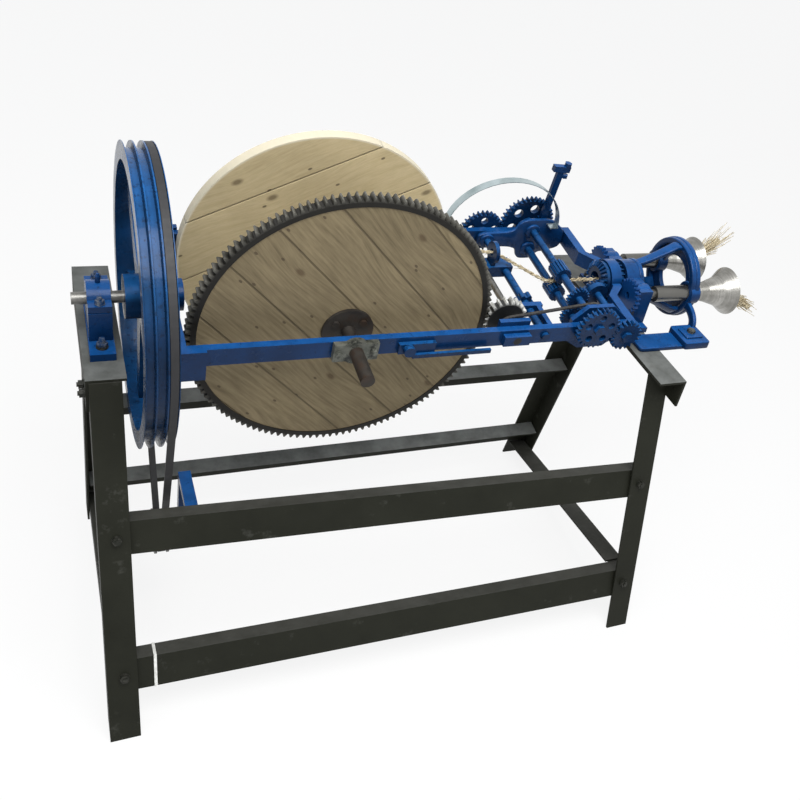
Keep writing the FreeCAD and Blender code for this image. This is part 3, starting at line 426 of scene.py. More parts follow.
def planks(name, angle, width, shift, dark, light, rim, seam=0.0032, shows=0.62, knots=5.5, seed=0.0):
    """Board number = floor(across / width); grain is noise stretched along, bent round the knots."""
    f = Finish(name)
    level = f.mapped(turn=(-TILT, 0, 0), source=f.mapped(place=tuple(-reel_centre)))
    along, _, across = f.split(f.mapped(turn=(0, angle, 0), source=level))[:3]
    across = f.maths("ADD", across, shift)
    count = f.maths("DIVIDE", across, width)
    number = f.maths("FLOOR", count)
    edge = f.maths("ABSOLUTE", f.maths("SUBTRACT", f.maths("FRACT", count), 0.5))
    gap = f.ramp(edge, ((0.5 - seam / width, 0.0), (0.5 - 0.3 * seam / width, 1.0)))

    # every board gets its own stretch of knots and nails
    short = f.maths("MULTIPLY", along, 0.55)
    apart = f.maths("MULTIPLY", number, 3.7)
    moved = f.joined(short, f.maths("ADD", apart, seed), across)
    flat = f.joined(short, f.maths("ADD", apart, across), 0.0)
    knot = cells(f, flat, knots)
    near = f.ramp(knot, ((0.020, 1.0), (0.048, 0.0)))
    swirl = f.ramp(knot, ((0.05, 1.0), (0.45, 0.0)))
    nails = f.ramp(cells(f, flat, knots * 2.3), ((0.026, 1.0), (0.040, 0.0)))

    # the grain wanders, and swells round each knot
    wander = f.maths("MULTIPLY", f.noise(3.0, 2.0, source=moved), 0.03)
    warp = f.maths("ADD", across, f.maths("ADD", f.maths("MULTIPLY", swirl, 0.020), wander))
    lines = f.joined(f.maths("MULTIPLY", along, 0.07), number, warp)
    rings = f.noise(150.0, 3.0, 0.55, source=lines)
    fine = f.noise(620.0, 2.0, 0.6, source=lines)
    own = f.node("ShaderNodeTexWhiteNoise", noise_dimensions="1D")
    f.feed(own.inputs["W"], f.maths("ADD", number, 11.3 + seed))
    shade = f.maths("ADD", 0.88, f.maths("MULTIPLY", own.outputs["Value"], 0.20))

    # grain first, then veils over it, then the dark marks and the sawn rim
    tone = f.ramp(rings, ((0.30, dark), (0.62, light)))
    stain = f.ramp(f.noise(5.0, 5.0, 0.65), ((0.35, 0.86), (0.62, 1.0)))
    fibres = f.ramp(fine, ((0.35, 0.90), (0.6, 1.0)))
    for veil in (shade, stain, fibres):
        tone = f.mix(1.0, tone, veil, "MULTIPLY")
    sawn = f.ramp(f.from_axis(level), ((DISC_RIM, 0.0), (DISC_RIM + 0.0025, 1.0)))
    for where, most, mark in ((near, 0.65, (0.060, 0.036, 0.018)), (nails, 0.75, (0.050, 0.034, 0.022)),
                              (gap, shows, (0.055, 0.038, 0.022)), (sawn, 0.75, rim)):
        tone = f.mix(f.maths("MULTIPLY", where, most), tone, mark)
    height = f.maths("SUBTRACT", f.maths("MULTIPLY", rings, 0.35), f.maths("MULTIPLY", gap, 2.0))
    f.bump(height, 0.5, 0.002)
    return f.surface(colour=tone, rough=0.68, specular=0.25)


front_planks = planks("front_planks", angle=math.radians(-47.7), width=0.118, shift=0.071,
                      dark=(0.150, 0.117, 0.066), light=(0.235, 0.187, 0.108), rim=(0.20, 0.15, 0.09))
# the back disc's boards are painted much paler than the front's: the same wood, brightened as painted light
back_planks = planks("back_planks", angle=math.radians(26.0), width=0.135, shift=0.056,
                     dark=(0.520, 0.418, 0.235), light=(0.600, 0.492, 0.292), rim=(0.70, 0.66, 0.54),
                     seam=0.0024, shows=0.42, seed=4.0)
drum_planks = planks("drum_planks", angle=0.0, width=0.040, shift=0.0,
                     dark=(0.16, 0.12, 0.065), light=(0.30, 0.23, 0.14), rim=(0.2, 0.15, 0.09), seed=9.0)
dress(front_planks, "front_disc")
dress(back_planks, "back_disc")
dress(drum_planks, "reel_drum")
print("planks done")

# %% [markdown]
# ## Straw rope
#
# Straw rope is two strands laid round each other, each a loose bundle of stalks. A stalk is
# a thin tube on a double helix: round its strand, and with the strand round the rope. The
# whole bundle is worked out as arrays: for every stalk and every step along the route the
# centre is path + strand offset + stalk offset, and a thin tube is carried along it. A plain
# cylinder with a twisted pattern would be lighter, but its outline would stay smooth.

# %% Straw
TINY = 1e-12
NO_STALK_RUNS_THIS_WAY = np.array([0.31, 0.52, 0.79])


def smooth_route(points, steps):
    """Points read from the route's own NURBS line, evenly spread, as an (n, 3) array."""
    curve = bpy.data.curves.new("route", "CURVE")
    curve.dimensions = "3D"
    curve.resolution_u = 32
    line = curve.splines.new("NURBS")
    line.points.add(len(points) - 1)
    for p, c in zip(line.points, points):
        p.co = (*c, 1.0)
    line.order_u = 3
    line.use_endpoint_u = True
    holder = bpy.data.objects.new("route", curve)
    mesh = bpy.data.meshes.new_from_object(holder)
    raw = np.zeros(len(mesh.vertices) * 3)
    mesh.vertices.foreach_get("co", raw)
    raw = raw.reshape(-1, 3)
    bpy.data.objects.remove(holder)
    bpy.data.curves.remove(curve)
    bpy.data.meshes.remove(mesh)
    run = np.concatenate([[0], np.cumsum(np.linalg.norm(np.diff(raw, axis=0), axis=1))])
    at = np.linspace(0, run[-1], steps)
    return np.stack([np.interp(at, run, raw[:, k]) for k in range(3)], axis=1), at


def side_vectors(path):
    """Two unit vectors square to the path: its direction crossed with up, and that with the direction."""
    tangent = np.gradient(path, axis=0)
    tangent /= np.linalg.norm(tangent, axis=1, keepdims=True)
    side = np.cross(tangent, np.array([[0.0, 0.0, 1.0]]))
    side /= np.linalg.norm(side, axis=1, keepdims=True)
    return side, np.cross(side, tangent)


def tubes(centres, radius, sides=5):
    """Point = centre + radius (cos a u + sin a w); centres is (lines, steps, 3), radius (lines, steps)."""
    lines, steps, _ = centres.shape
    tangent = np.gradient(centres, axis=1)
    tangent /= np.linalg.norm(tangent, axis=2, keepdims=True) + TINY
    u = np.cross(tangent, NO_STALK_RUNS_THIS_WAY[None, None, :])
    u /= np.linalg.norm(u, axis=2, keepdims=True) + TINY
    w = np.cross(tangent, u)
    angle = np.linspace(0, 2 * np.pi, sides, endpoint=False)[None, None, :, None]
    ring = np.cos(angle) * u[:, :, None, :] + np.sin(angle) * w[:, :, None, :]
    points = centres[:, :, None, :] + ring * radius[:, :, None, None]
    index = np.arange(lines * steps * sides).reshape(lines, steps, sides)
    a, b = index[:, :-1, :], index[:, 1:, :]
    quads = np.stack([a, np.roll(a, -1, axis=2), np.roll(b, -1, axis=2), b], axis=-1).reshape(-1, 4)
    faces = quads.tolist() + index[:, 0, ::-1].tolist() + index[:, -1, :].tolist()
    return points.reshape(-1, 3), faces


def piece(name, points, faces, material, smooth=True):
    """A new object at the origin from points and faces, with its place in its mesh."""
    mesh = bpy.data.meshes.new(name)
    mesh.from_pydata(np.asarray(points).tolist(), [], faces)
    mesh.validate()
    if smooth:
        mesh.polygons.foreach_set("use_smooth", [True] * len(mesh.polygons))
    mesh.materials.append(material)
    made = bpy.data.objects.new(name, mesh)
    bpy.context.scene.collection.objects.link(made)
    return made


def straw_finish():
    """Brown to pale straw by noise, so that each stalk changes tone a few times along its run."""
    f = Finish("straw")
    tone = f.ramp(f.noise(70.0, 4.0), ((0.25, (0.27, 0.21, 0.12)), (0.5, (0.52, 0.44, 0.29)),
                                       (0.8, (0.72, 0.66, 0.50))))
    f.bump(f.noise(900.0, 2.0), 0.3, 0.0005)
    return f.surface(colour=tone, rough=0.62, specular=0.3)


straw = straw_finish()
rng = np.random.default_rng(7)


def laid_rope(path, at, radius, stalks, pitch):
    """Centre = path + 0.46 radius at the strand's turn + the stalk's own reach at its own slower turn."""
    side, up = side_vectors(path)
    count = stalks * 2
    strand = np.arange(count) % 2
    turn = 2 * np.pi * at[None, :] / pitch + strand[:, None] * np.pi
    own = rng.uniform(0, 2 * np.pi, (count, 1)) - 2 * np.pi * at[None, :] / (pitch * 1.7)
    reach = radius * 0.42 * np.sqrt(rng.uniform(0.25, 1.0, (count, 1)))
    off_u = radius * 0.46 * np.cos(turn) + reach * np.cos(own)
    off_w = radius * 0.46 * np.sin(turn) + reach * np.sin(own)
    centres = path[None] + off_u[:, :, None] * side[None] + off_w[:, :, None] * up[None]
    thick = radius * rng.uniform(0.13, 0.21, (count, 1)) * np.ones_like(off_u)
    return centres, thick


print("straw finish and rope helpers ready")

# %% [markdown]
# ## The rope through the rollers and on to the reel
#
# The rope comes out of the sleeve, passes the nip of the two fluted rollers, turns into the
# carriage's eye and runs to the drum. Its line is a smooth curve with the route's points as
# control points; the strands follow points read back from that curve.

# %% Ropes
ROPE_D = 0.009
ROPE_STEP = 0.0012
SLEEVE = np.array([1.262, 0.0, 0.0])
NIP = np.array([1.0551, 0.0, 0.0])
EYE = np.array([0.9274, 0.060, 0.046])
EYE_DEPTH = 0.0128
BEND = 0.026


def toward(a, b, distance):
    """Point on the way from a to b, a distance from a."""
    return a + (b - a) * distance / np.linalg.norm(b - a)


into_eye = toward(EYE, NIP, EYE_DEPTH)
drawn_route = [SLEEVE, toward(NIP, SLEEVE, BEND), NIP, toward(NIP, EYE, BEND), into_eye]
wound_route = [(0.9354, 0.060, 0.0455), (0.725, 0.060, 0.0603), (0.514, 0.060, 0.0752)]


def wisps(name, path, at, radius, count, body):
    """Short stalk ends: point = rope + ahead x run + away x (0.7 radius + reach x run to the 1.6)."""
    side, up = side_vectors(path)
    ahead = np.gradient(path, axis=0)
    ahead /= np.linalg.norm(ahead, axis=1, keepdims=True)
    start = rng.uniform(0.02, 0.97, count) * at[-1]
    long = rng.uniform(0.010, 0.026, count)
    angle = rng.uniform(0, 2 * np.pi, count)
    lean = rng.uniform(0.10, 0.42, count)
    pick = np.clip(np.searchsorted(at, start), 0, len(at) - 1)
    out = np.cos(angle)[:, None] * side[pick] + np.sin(angle)[:, None] * up[pick]
    # all of them lean to the front, clear of the reel's rear disc
    out[:, 1] = -np.abs(out[:, 1])
    run = np.linspace(0, 1, 6)[None, :, None]
    along = ahead[pick][:, None, :] * (long * np.cos(lean))[:, None, None] * run
    away = out[:, None, :] * (radius * 0.7 + (long * np.sin(lean))[:, None, None] * run ** 1.6)
    centres = path[pick][:, None, :] + along + away
    thick = rng.uniform(0.00030, 0.00065, (count, 1)) * np.linspace(1.0, 0.5, 6)[None, :]
    verts, faces = tubes(centres, thick, 4)
    made = piece(name, verts, faces, straw)
    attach(made, body)
    return made


def make_rope(name, route, radius, body, stalks, pitch, straggle):
    """A laid rope along a route, with loose stalk ends, that rides with a body."""
    points = [tuple(map(float, on_rotor(*p))) for p in route]
    reach = np.linalg.norm(np.array(points[-1]) - points[0])
    path, at = smooth_route(points, max(60, int(reach / ROPE_STEP)))
    centres, thick = laid_rope(path, at, radius, stalks, pitch)
    verts, faces = tubes(centres, thick)
    rope = piece(name, verts, faces, straw)
    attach(rope, body)
    loose = wisps(name + "_wisps", path, at, radius, straggle, body)
    print(name, "length", round(float(at[-1]), 3), "faces", len(faces))
    return rope


drawn = make_rope("drawn_straw_rope", drawn_route, ROPE_D / 2, "rotor", 18, 0.034, 60)
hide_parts("straw_rope")
wound = make_rope("wound_straw_rope", wound_route, ROPE_D / 2, "guide_carriage", 18, 0.034, 150)
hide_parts("winding_rope")

# %% [markdown]
# ## Straw in the bells
#
# A handful of loose stalks goes into each bell. They start close together in the throat,
# spread a little outside the mouth and end at different lengths, some bent over. The bundle in
# the throat is regular, three rings of stalks, and the loose ones lie over it at random.

# %% Loose straw
STALK_R = 0.00118
RING_RADII, RING_STALKS = (0.0017, 0.0042, 0.0068), (4, 11, 19)
BUNDLE_PITCH = 0.6


def packed_straw(path, at):
    """Rings of stalks round the route: centre = path + ring radius at an angle that turns slowly."""
    side, up = side_vectors(path)
    ring = np.repeat(RING_RADII, RING_STALKS)
    first = np.concatenate([np.linspace(0, 2 * np.pi, n, endpoint=False) for n in RING_STALKS])
    turn = first[:, None] + 2 * np.pi * at[None, :] / BUNDLE_PITCH
    reach = ring[:, None] + 0.00025 * np.sin(40 * at[None, :] + 5 * first[:, None])
    across, high = (reach * np.cos(turn))[:, :, None], (reach * np.sin(turn))[:, :, None]
    return path[None] + across * side[None] + high * up[None], np.full(turn.shape, STALK_R)


def fanned_straw(path, at, stalks, spread, longest):
    """Each stalk starts on the bundle, opens out with the square of its run and curls at its end."""
    side, up = side_vectors(path)
    share = np.linspace(0.0, 1.0, 26)
    first = rng.uniform(0.42, 0.62, (stalks, 1))
    shortest = 0.88
    last = shortest + (longest - shortest) * rng.uniform(0.0, 1.0, (stalks, 1)) ** 1.5
    where = first + (last - first) * share[None, :]
    line = at / at[-1]
    base = np.stack([np.interp(where, line, path[:, k]) for k in range(3)], axis=-1)
    tail = np.maximum(where - 1.0, 0.0)[:, :, None] * (path[-1] - path[-4]) / (line[-1] - line[-4])
    u, w = (np.stack([np.interp(where, line, way[:, k]) for k in range(3)], axis=-1) for way in (side, up))
    own = rng.uniform(0, 2 * np.pi, (stalks, 1))
    far = 0.0070 + spread * rng.uniform(0.05, 1.0, (stalks, 1)) * share[None, :] ** 2
    curl = own + rng.normal(0, 0.5, (stalks, 1)) * share[None, :] ** 2
    wave = 0.0012 * np.sin(9 * share[None, :] + 7 * own)
    centres = base + tail + (far * np.cos(curl) + wave)[:, :, None] * u + (far * np.sin(curl))[:, :, None] * w
    thick = rng.uniform(0.0006, 0.0013, (stalks, 1)) * (1.0 - 0.35 * share[None, :])
    return centres, thick


def bell_straw(name, y, z, route, node, stalks, spread, longest):
    """A packed bundle of stalks along the route, with loose ones fanned out round its end."""
    points = [tuple(map(float, on_stand(x, y + b, z + c))) for x, b, c in route]
    path, at = smooth_route(points, 70)
    bundle = piece(name, *tubes(*packed_straw(path, at)), straw)
    loose = piece(name + "_loose", *tubes(*fanned_straw(path, at, stalks, spread, longest)), straw)
    for made in (bundle, loose):
        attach(made, "stand")
    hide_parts(node)
    print(name, "length", round(float(at[-1]), 3))


FRONT_STRAW = [(1.372, 0, 0), (1.500, 0, 0), (1.580, -0.010, -0.012), (1.648, -0.016, -0.044)]
REAR_STRAW = [(1.372, 0, 0), (1.500, 0, 0), (1.576, 0.000, 0.012), (1.640, 0.016, 0.052)]
BELL_Y = 0.080
bell_straw("front_bell_straw", -BELL_Y, AXIS_Z, FRONT_STRAW, "front_straw", 60, 0.015, 1.10)
bell_straw("rear_bell_straw", BELL_Y, AXIS_Z, REAR_STRAW, "rear_straw", 60, 0.020, 1.20)

# %% [markdown]
# ## The feeder cage
#
# The cage is one casting: three curved arms flare out of the housing to a heavy ring, and two
# bosses on the ring guide the bells' necks. Round parts are profiles turned about the machine
# axis; each arm is a rounded section carried along a bent line, so edges stay soft like a
# casting's. Boxes joined at right angles would be quicker, but look like cut plate.

# %% Cage casting
CAGE_BACK, CAGE_FRONT = 1.306, 1.440
ARM_ROOT_R, ARM_TIP_R = 0.040, 0.0905
ARM_TURNS = (90, 222, 318)
NECK_R = 0.0203


def joined_rings(rows, sides, closed=False):
    """Faces of a grid of rings: each ring joins the next, and the ends are capped unless they meet."""
    index = np.arange(rows * sides).reshape(rows, sides)
    lower, upper = (index, np.roll(index, -1, axis=0)) if closed else (index[:-1], index[1:])
    quads = np.stack([lower, np.roll(lower, -1, axis=1), np.roll(upper, -1, axis=1), upper], axis=-1)
    caps = [] if closed else [index[0, ::-1].tolist(), index[-1].tolist()]
    return quads.reshape(-1, 4).tolist() + caps


def turned(profile, y, z, steps=72):
    """Closed ring: each (x, r) of a closed profile turned fully about the line y, z along X."""
    angle = np.linspace(0, 2 * np.pi, steps, endpoint=False)[:, None]
    x = np.repeat(profile[:, 0][None], steps, axis=0)
    across = y + profile[:, 1][None] * np.cos(angle)
    high = AXIS_Z + z + profile[:, 1][None] * np.sin(angle)
    points = np.stack([x, across, high], axis=-1) - ORIGIN
    return points.reshape(-1, 3), joined_rings(steps, len(profile), closed=True)


def soft_box(x0, x1, r0, r1, soft, count=5):
    """Rectangle in (x, r) whose corners are quarter circles of the radius soft."""
    corners = []
    for cx, cr, start in ((x1 - soft, r1 - soft, 0), (x0 + soft, r1 - soft, 90), (x0 + soft, r0 + soft, 180),
                          (x1 - soft, r0 + soft, 270)):
        angle = np.radians(np.linspace(start, start + 90, count))
        corners.append(np.stack([cx + soft * np.cos(angle), cr + soft * np.sin(angle)], axis=1))
    return np.concatenate(corners)[::-1]


def squared(value, power=0.5):
    """Signed power of a sine or cosine: below one it pushes a circle out toward a square."""
    return np.sign(value) * np.abs(value) ** power


def flared_arm(angle, wide, thick, steps=26, sides=20):
    """Squared section along x at radius root + (tip - root) min(1.25 s, 1)^1.3, where s is the way."""
    s = np.linspace(0, 1, steps)
    overlap = 0.006
    x = CAGE_BACK - overlap + (CAGE_FRONT - CAGE_BACK + 2 * overlap) * s
    r = ARM_ROOT_R + (ARM_TIP_R - ARM_ROOT_R) * np.clip(s * 1.25, 0, 1) ** 1.3
    out = np.array([math.cos(angle), math.sin(angle)])
    side = np.array([-math.sin(angle), math.cos(angle)])
    t = np.linspace(0, 2 * np.pi, sides, endpoint=False)
    u, v = squared(np.cos(t)), squared(np.sin(t))
    half = wide / 2 * (0.85 + 0.35 * s)
    radial = r[:, None] + thick / 2 * v[None]
    lateral = half[:, None] * u[None]
    y = out[0] * radial + side[0] * lateral
    z = out[1] * radial + side[1] * lateral + AXIS_Z
    points = np.stack([np.repeat(x[:, None], sides, axis=1), y, z], axis=-1) - ORIGIN
    return points.reshape(-1, 3), joined_rings(steps, sides)


def together(parts):
    """Several point and face sets as one, with the face numbers moved on."""
    points, faces, base = [], [], 0
    for verts, polys in parts:
        points.append(verts)
        faces += [[i + base for i in f] for f in polys]
        base += len(verts)
    return np.concatenate(points), faces


def outward(made):
    """Recalculate normals so that every closed shell faces outwards."""
    work = bmesh.new()
    work.from_mesh(made.data)
    bmesh.ops.recalc_face_normals(work, faces=work.faces)
    work.to_mesh(made.data)
    work.free()
    return made


forms = [turned(soft_box(CAGE_FRONT, CAGE_FRONT + 0.014, 0.056, 0.105, 0.004), 0.0, 0.0),
         turned(soft_box(CAGE_FRONT - 0.012, CAGE_FRONT + 0.004, 0.086, 0.103, 0.004), 0.0, 0.0),
         turned(soft_box(CAGE_BACK - 0.001, CAGE_BACK + 0.012, 0.0315, 0.050, 0.003), 0.0, 0.0)]
forms += [turned(soft_box(CAGE_FRONT - 0.010, CAGE_FRONT + 0.019, NECK_R, 0.030, 0.003), y, 0.0, 48)
          for y in (-BELL_Y, BELL_Y)]
forms += [flared_arm(math.radians(a), 0.026, 0.013) for a in ARM_TURNS]
cage = outward(piece("cage_casting", *together(forms), blue))
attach(cage, "stand")
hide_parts("feeder_cage")

# %% [markdown]
# ## The cage's foot
#
# Below the ring a flat foot lies on the top bar. It carries a thicker pad with its nut, and a
# curved leg runs up from the pad to the ring. A block with soft edges is a superellipsoid: the
# same formula as an ellipsoid, with a power that squares it up.

# %% Foot with pad, nut and leg
BAR_TOP = float(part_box("feeder_base")[0][2])


def soft_block(low, high, power=0.16, across=28, rows=15):
    """Superellipsoid in a box: half size times signed powers of cos and sin of two angles."""
    v = np.linspace(-np.pi / 2, np.pi / 2, rows)[1:-1, None]
    u = np.linspace(0, 2 * np.pi, across, endpoint=False)[None, :]
    x = squared(np.cos(v), power) * squared(np.cos(u), power)
    y = squared(np.cos(v), power) * squared(np.sin(u), power)
    z = squared(np.sin(v), power) * np.ones_like(u)
    grid = np.stack([x, y, z], axis=-1) * (high - low) / 2 + (high + low) / 2
    return grid.reshape(-1, 3), joined_rings(rows - 2, across)


def bent_leg(route, wide, thick, steps=24, sides=20):
    """Squared section along a quadratic Bezier line: (1-t)^2 p0 + 2t(1-t) p1 + t^2 p2."""
    p0, p1, p2 = route
    t = np.linspace(0, 1, steps)[:, None]
    line = (1 - t) ** 2 * p0 + 2 * t * (1 - t) * p1 + t ** 2 * p2
    ahead = np.gradient(line, axis=0)
    ahead /= np.linalg.norm(ahead, axis=1, keepdims=True)
    first = np.array([[1.0, 0.0, 0.0]])
    second = np.cross(ahead, first)
    a = np.linspace(0, 2 * np.pi, sides, endpoint=False)
    u, v = squared(np.cos(a)) * thick / 2, squared(np.sin(a)) * wide / 2
    points = line[:, None, :] + u[None, :, None] * first[:, None, :] + v[None, :, None] * second[:, None, :]
    return points.reshape(-1, 3), joined_rings(steps, sides)


def hexagon_nut(centre, across, height, chamfer, turn=17):
    """Six sided prism, turned as it was tightened, whose top ring steps in by the chamfer."""
    a = np.radians(np.arange(6) * 60 + turn)
    ring = np.stack([np.cos(a), np.sin(a)], axis=-1) * across / math.sqrt(3)
    levels = [(0.0, 1.0), (height - chamfer, 1.0), (height, 1.0 - 1.6 * chamfer / across)]
    points = [np.c_[ring * k, np.full(6, h)] + centre for h, k in levels]
    return np.concatenate(points), joined_rings(len(levels), 6)


forms = [soft_block(on_stand(1.240, -0.212, BAR_TOP), on_stand(1.444, -0.152, BAR_TOP + 0.011)),
         soft_block(on_stand(1.364, -0.222, BAR_TOP + 0.004), on_stand(1.440, -0.142, BAR_TOP + 0.025)),
         soft_block(on_stand(1.376, -0.204, BAR_TOP + 0.015), on_stand(1.428, -0.160, BAR_TOP + 0.0295))]
ring_side = on_stand(1.436, -0.094, AXIS_Z - 0.026)
pad_side = on_stand(1.428, -0.150, BAR_TOP + 0.018)
knee = np.array([ring_side[0], pad_side[1] + 0.006, ring_side[2] - 0.010])
forms.append(bent_leg((ring_side, knee, pad_side), 0.024, 0.012))
foot = outward(piece("cage_foot", *together(forms), blue))
nut_form = hexagon_nut(on_stand(1.402, -0.182, BAR_TOP + 0.0285), across=0.019, height=0.009, chamfer=0.0012)
nut = outward(piece("cage_foot_nut", *nut_form, grey_iron, smooth=False))
for made in (foot, nut):
    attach(made, "stand")
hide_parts("feeder_base")
print("cage foot on", round(BAR_TOP, 3))

# %% [markdown]
# ## The rear bearing casting and a strap
#
# The rollers' rear ends sit in a casting whose outline swells round the two shafts and thins
# out to a flange along the bar. Its corners are cut again and again until they are round, and
# the outline is carried through the plate with its first and last layers drawn in, which
# leaves the soft edge of cast iron. A pale strap is tied round the lower rail.

# %% Rear casting and strap
CASTING = [(0.938, -0.020), (0.938, 0.021), (1.036, 0.024), (1.054, 0.060), (1.140, 0.062), (1.186, 0.026),
           (1.186, -0.024), (1.140, -0.038), (1.122, -0.040), (1.112, -0.060), (1.066, -0.060),
           (1.052, -0.022)]


def rounded(outline, rounds=3, cut=0.18):
    """Corner cutting: each corner gives way to two points, at the share cut along its two sides."""
    line, keep = np.array(outline), 1 - cut
    for _ in range(rounds):
        after = np.roll(line, -1, axis=0)
        line = np.stack([keep * line + cut * after, cut * line + keep * after], axis=1).reshape(-1, 2)
    return line


def cast_plate(outline, y0, y1, soft):
    """Outline in four layers across y; the outer two are drawn in along the outline's normals."""
    line = rounded(outline)
    along = np.roll(line, -1, axis=0) - np.roll(line, 1, axis=0)
    along /= np.linalg.norm(along, axis=1, keepdims=True)
    inward = np.stack([along[:, 1], -along[:, 0]], axis=1)
    layers = [(y0, soft), (y0 + soft, 0.0), (y1 - soft, 0.0), (y1, soft)]
    edges = [(y, line + inward * move) for y, move in layers]
    points = [on_rotor(edge[:, 0], y, edge[:, 1]) for y, edge in edges]
    return np.concatenate(points), joined_rings(len(layers), len(line))


def boss(x, z, radius, y0, y1, soft=0.0022, steps=40):
    """Round boss about a line along y: circles whose radius drops by soft at both ends."""
    a = np.linspace(0, 2 * np.pi, steps, endpoint=False)
    levels = [(y0, radius - soft), (y0 + soft, radius), (y1 - soft, radius), (y1, radius - soft)]
    points = [on_rotor(x + k * np.cos(a), y, z + k * np.sin(a)) for y, k in levels]
    return np.concatenate(points), joined_rings(len(levels), steps)


ROLLER_X, SCREW_X, ROLLER_Z = 1.08915, 0.96403, 0.027
BOSS_Y = (0.1660, 0.1830)
forms = [cast_plate(CASTING, y0=0.1722, y1=0.1838, soft=0.0022)]
forms += [boss(ROLLER_X, z, 0.0205, *BOSS_Y) for z in (-ROLLER_Z, ROLLER_Z)]
forms.append(boss(SCREW_X, 0.0, 0.0200, *BOSS_Y))
casting = outward(piece("rear_bearing_casting", *together(forms), blue))
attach(casting, "rotor")
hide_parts("back_bearing_plate")


def strap_finish():
    """Off white plastic, a little uneven."""
    f = Finish("white_strap")
    tone = f.ramp(f.noise(160.0, 3.0), ((0.35, (0.60, 0.60, 0.56)), (0.65, (0.80, 0.80, 0.77))))
    f.bump(f.noise(500.0, 2.0), 0.2, 0.0004)
    return f.surface(colour=tone, rough=0.45, specular=0.3)


def strap_round(node, share, width, thick, gap=0.0004):
    """Band on the rail's outer hull at a share of its length, from the gap out to its thickness."""
    raw = np.zeros(len(nodes[node].data.vertices) * 3)
    nodes[node].data.vertices.foreach_get("co", raw)
    corners = np.unique(np.round(raw.reshape(-1, 3), 5), axis=0)
    middle = corners[:, 0].mean()
    near, far = corners[corners[:, 0] < middle], corners[corners[:, 0] > middle]
    near, far = near[np.argsort(near[:, 0])], far[np.argsort(far[:, 0])]
    section = near + (far - near) * share
    hull = geometry.convex_hull_2d([Vector((y, z)) for _, y, z in section])
    ring = section[hull]
    centre = ring.mean(axis=0)
    out = ring - centre
    out[:, 0] = 0
    out /= np.linalg.norm(out, axis=1, keepdims=True)
    step = np.array([width / 2, 0, 0])
    levels = [ring + out * gap - step, ring + out * thick - step, ring + out * thick + step,
              ring + out * gap + step]
    return np.concatenate(levels), joined_rings(len(levels), len(ring), closed=True)


strap_form = strap_round("front_bottom_rail", share=0.07, width=0.006, thick=0.0018)
strap = outward(piece("rail_strap", *strap_form, strap_finish(), smooth=False))
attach(strap, "stand")
print("rear casting and strap done")

# %% [markdown]
# ## Floor, world and lamps
#
# The picture has a white ground. The floor catches the soft shadow and shows white to the
# camera where no shadow falls; the world does the same for the rest. Three large soft lamps
# give a studio light from above and a little from the left.

# %% Studio
FLOOR_SHOWS_WHITE = 0.86
FLOOR_HALF = 30.0


def seen_straight(tree):
    """One where the camera or a glossy face looks, else zero: the larger of two of the ray's marks."""
    rays = tree.nodes.new("ShaderNodeLightPath")
    either = tree.nodes.new("ShaderNodeMath")
    either.operation = "MAXIMUM"
    tree.links.new(rays.outputs["Is Camera Ray"], either.inputs[0])
    tree.links.new(rays.outputs["Is Glossy Ray"], either.inputs[1])
    return either.outputs[0]


def either_way(tree, share, first, second, out):
    """Blend two shaders by the share and send the result to the output."""
    blend = tree.nodes.new("ShaderNodeMixShader")
    for socket, value in zip(blend.inputs, (share, first, second)):
        tree.links.new(value, socket)
    tree.links.new(blend.outputs[0], out.inputs[0])


def glow_node(tree, kind, colour, strength):
    """An emission or a background of one colour and strength."""
    n = tree.nodes.new(kind)
    n.inputs["Color"].default_value = (*colour, 1.0)
    n.inputs["Strength"].default_value = strength
    return n.outputs[0]


def white_ground():
    """Pale floor that shows mostly white to the camera, but keeps its shadow."""
    f = Finish("studio_floor")
    f.surface(colour=(0.86, 0.86, 0.85), rough=0.9)
    white = glow_node(f.tree, "ShaderNodeEmission", (1, 1, 1), 1.0)
    share = f.maths("MULTIPLY", seen_straight(f.tree), FLOOR_SHOWS_WHITE)
    either_way(f.tree, share, f.shader.outputs[0], white, f.out)
    return f.material


floor_corners = [(x * FLOOR_HALF, y * FLOOR_HALF, 0) for x, y in ((-1, -1), (1, -1), (1, 1), (-1, 1))]
ground = piece("studio_floor", floor_corners, [[0, 1, 2, 3]], white_ground(), smooth=False)

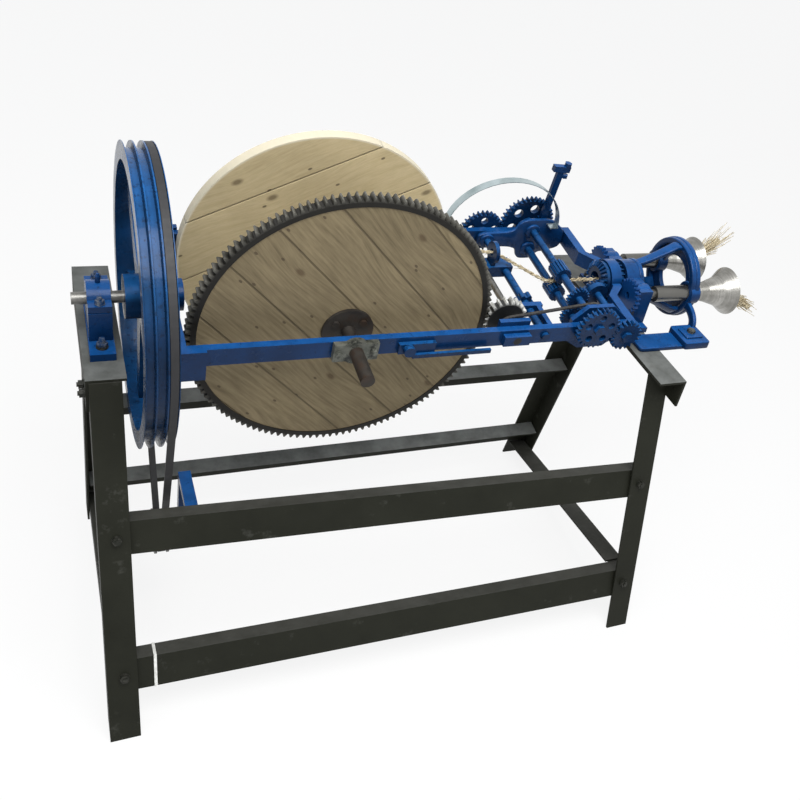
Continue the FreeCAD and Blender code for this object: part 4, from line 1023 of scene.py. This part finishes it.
world = bpy.data.worlds.new("studio_world")
world.use_nodes = True
bpy.context.scene.world = world
tree = world.node_tree
tree.nodes.clear()
either_way(tree, seen_straight(tree), glow_node(tree, "ShaderNodeBackground", (0.93, 0.96, 1.0), 0.50),
           glow_node(tree, "ShaderNodeBackground", (1, 1, 1), 1.0), tree.nodes.new("ShaderNodeOutputWorld"))


def lamp(name, place, aim, size, watts):
    """White area lamp at a place, facing a point."""
    data = bpy.data.lights.new(name, "AREA")
    data.shape = "RECTANGLE"
    data.size, data.size_y = size
    data.energy = watts
    holder = bpy.data.objects.new(name, data)
    bpy.context.scene.collection.objects.link(holder)
    way = Vector(aim) - Vector(place)
    holder.matrix_world = Matrix.Translation(place) @ way.to_track_quat("-Z", "Y").to_matrix().to_4x4()


lamp("overhead", (-0.2, -1.1, 3.1), (0.0, 0.15, 0.75), (2.6, 1.6), 92)
lamp("left_window", (-2.6, -1.0, 2.2), (0.0, 0.0, 0.7), (1.6, 1.6), 14)
lamp("front_fill", (0.6, -3.0, 1.6), (0.0, 0.0, 0.6), (2.4, 1.6), 4)
print("studio lamps:", [light.name for light in bpy.data.lights])

# %% [markdown]
# ## Camera
#
# The viewpoint was worked out from the stand's corners, the wheels' outlines and the gears
# in the photograph: where it stands, which way it looks, and how long its lens is. The turn
# is an axis times its angle, and the picture's centre lies off the lens's own centre.

# %% Camera
IMAGE = 800
SENSOR = 36.0
FOCAL_PX = 926.697
CENTRE_PX = (494.122, 349.126)
TURN = Vector((2.16861591, -0.32157299, 0.45814641))
PLACE = np.array([-0.0601933, -1.6804841, 1.9045059]) - ORIGIN

to_camera = Matrix.Rotation(TURN.length, 3, TURN.normalized())
right, down, ahead = to_camera[0], to_camera[1], to_camera[2]
data = bpy.data.cameras.new("camera")
data.sensor_width = SENSOR
data.lens = FOCAL_PX / IMAGE * SENSOR
data.shift_x = (IMAGE / 2 - CENTRE_PX[0]) / IMAGE
data.shift_y = (CENTRE_PX[1] - IMAGE / 2) / IMAGE
data.clip_end = 200.0
camera = bpy.data.objects.new("camera", data)
bpy.context.scene.collection.objects.link(camera)
columns = Matrix((right, -down, -ahead)).transposed()
camera.matrix_world = Matrix.Translation(PLACE) @ columns.to_4x4()
bpy.context.scene.camera = camera
bpy.context.scene.view_settings.view_transform = "Standard"
print("camera at", np.round(PLACE, 3))
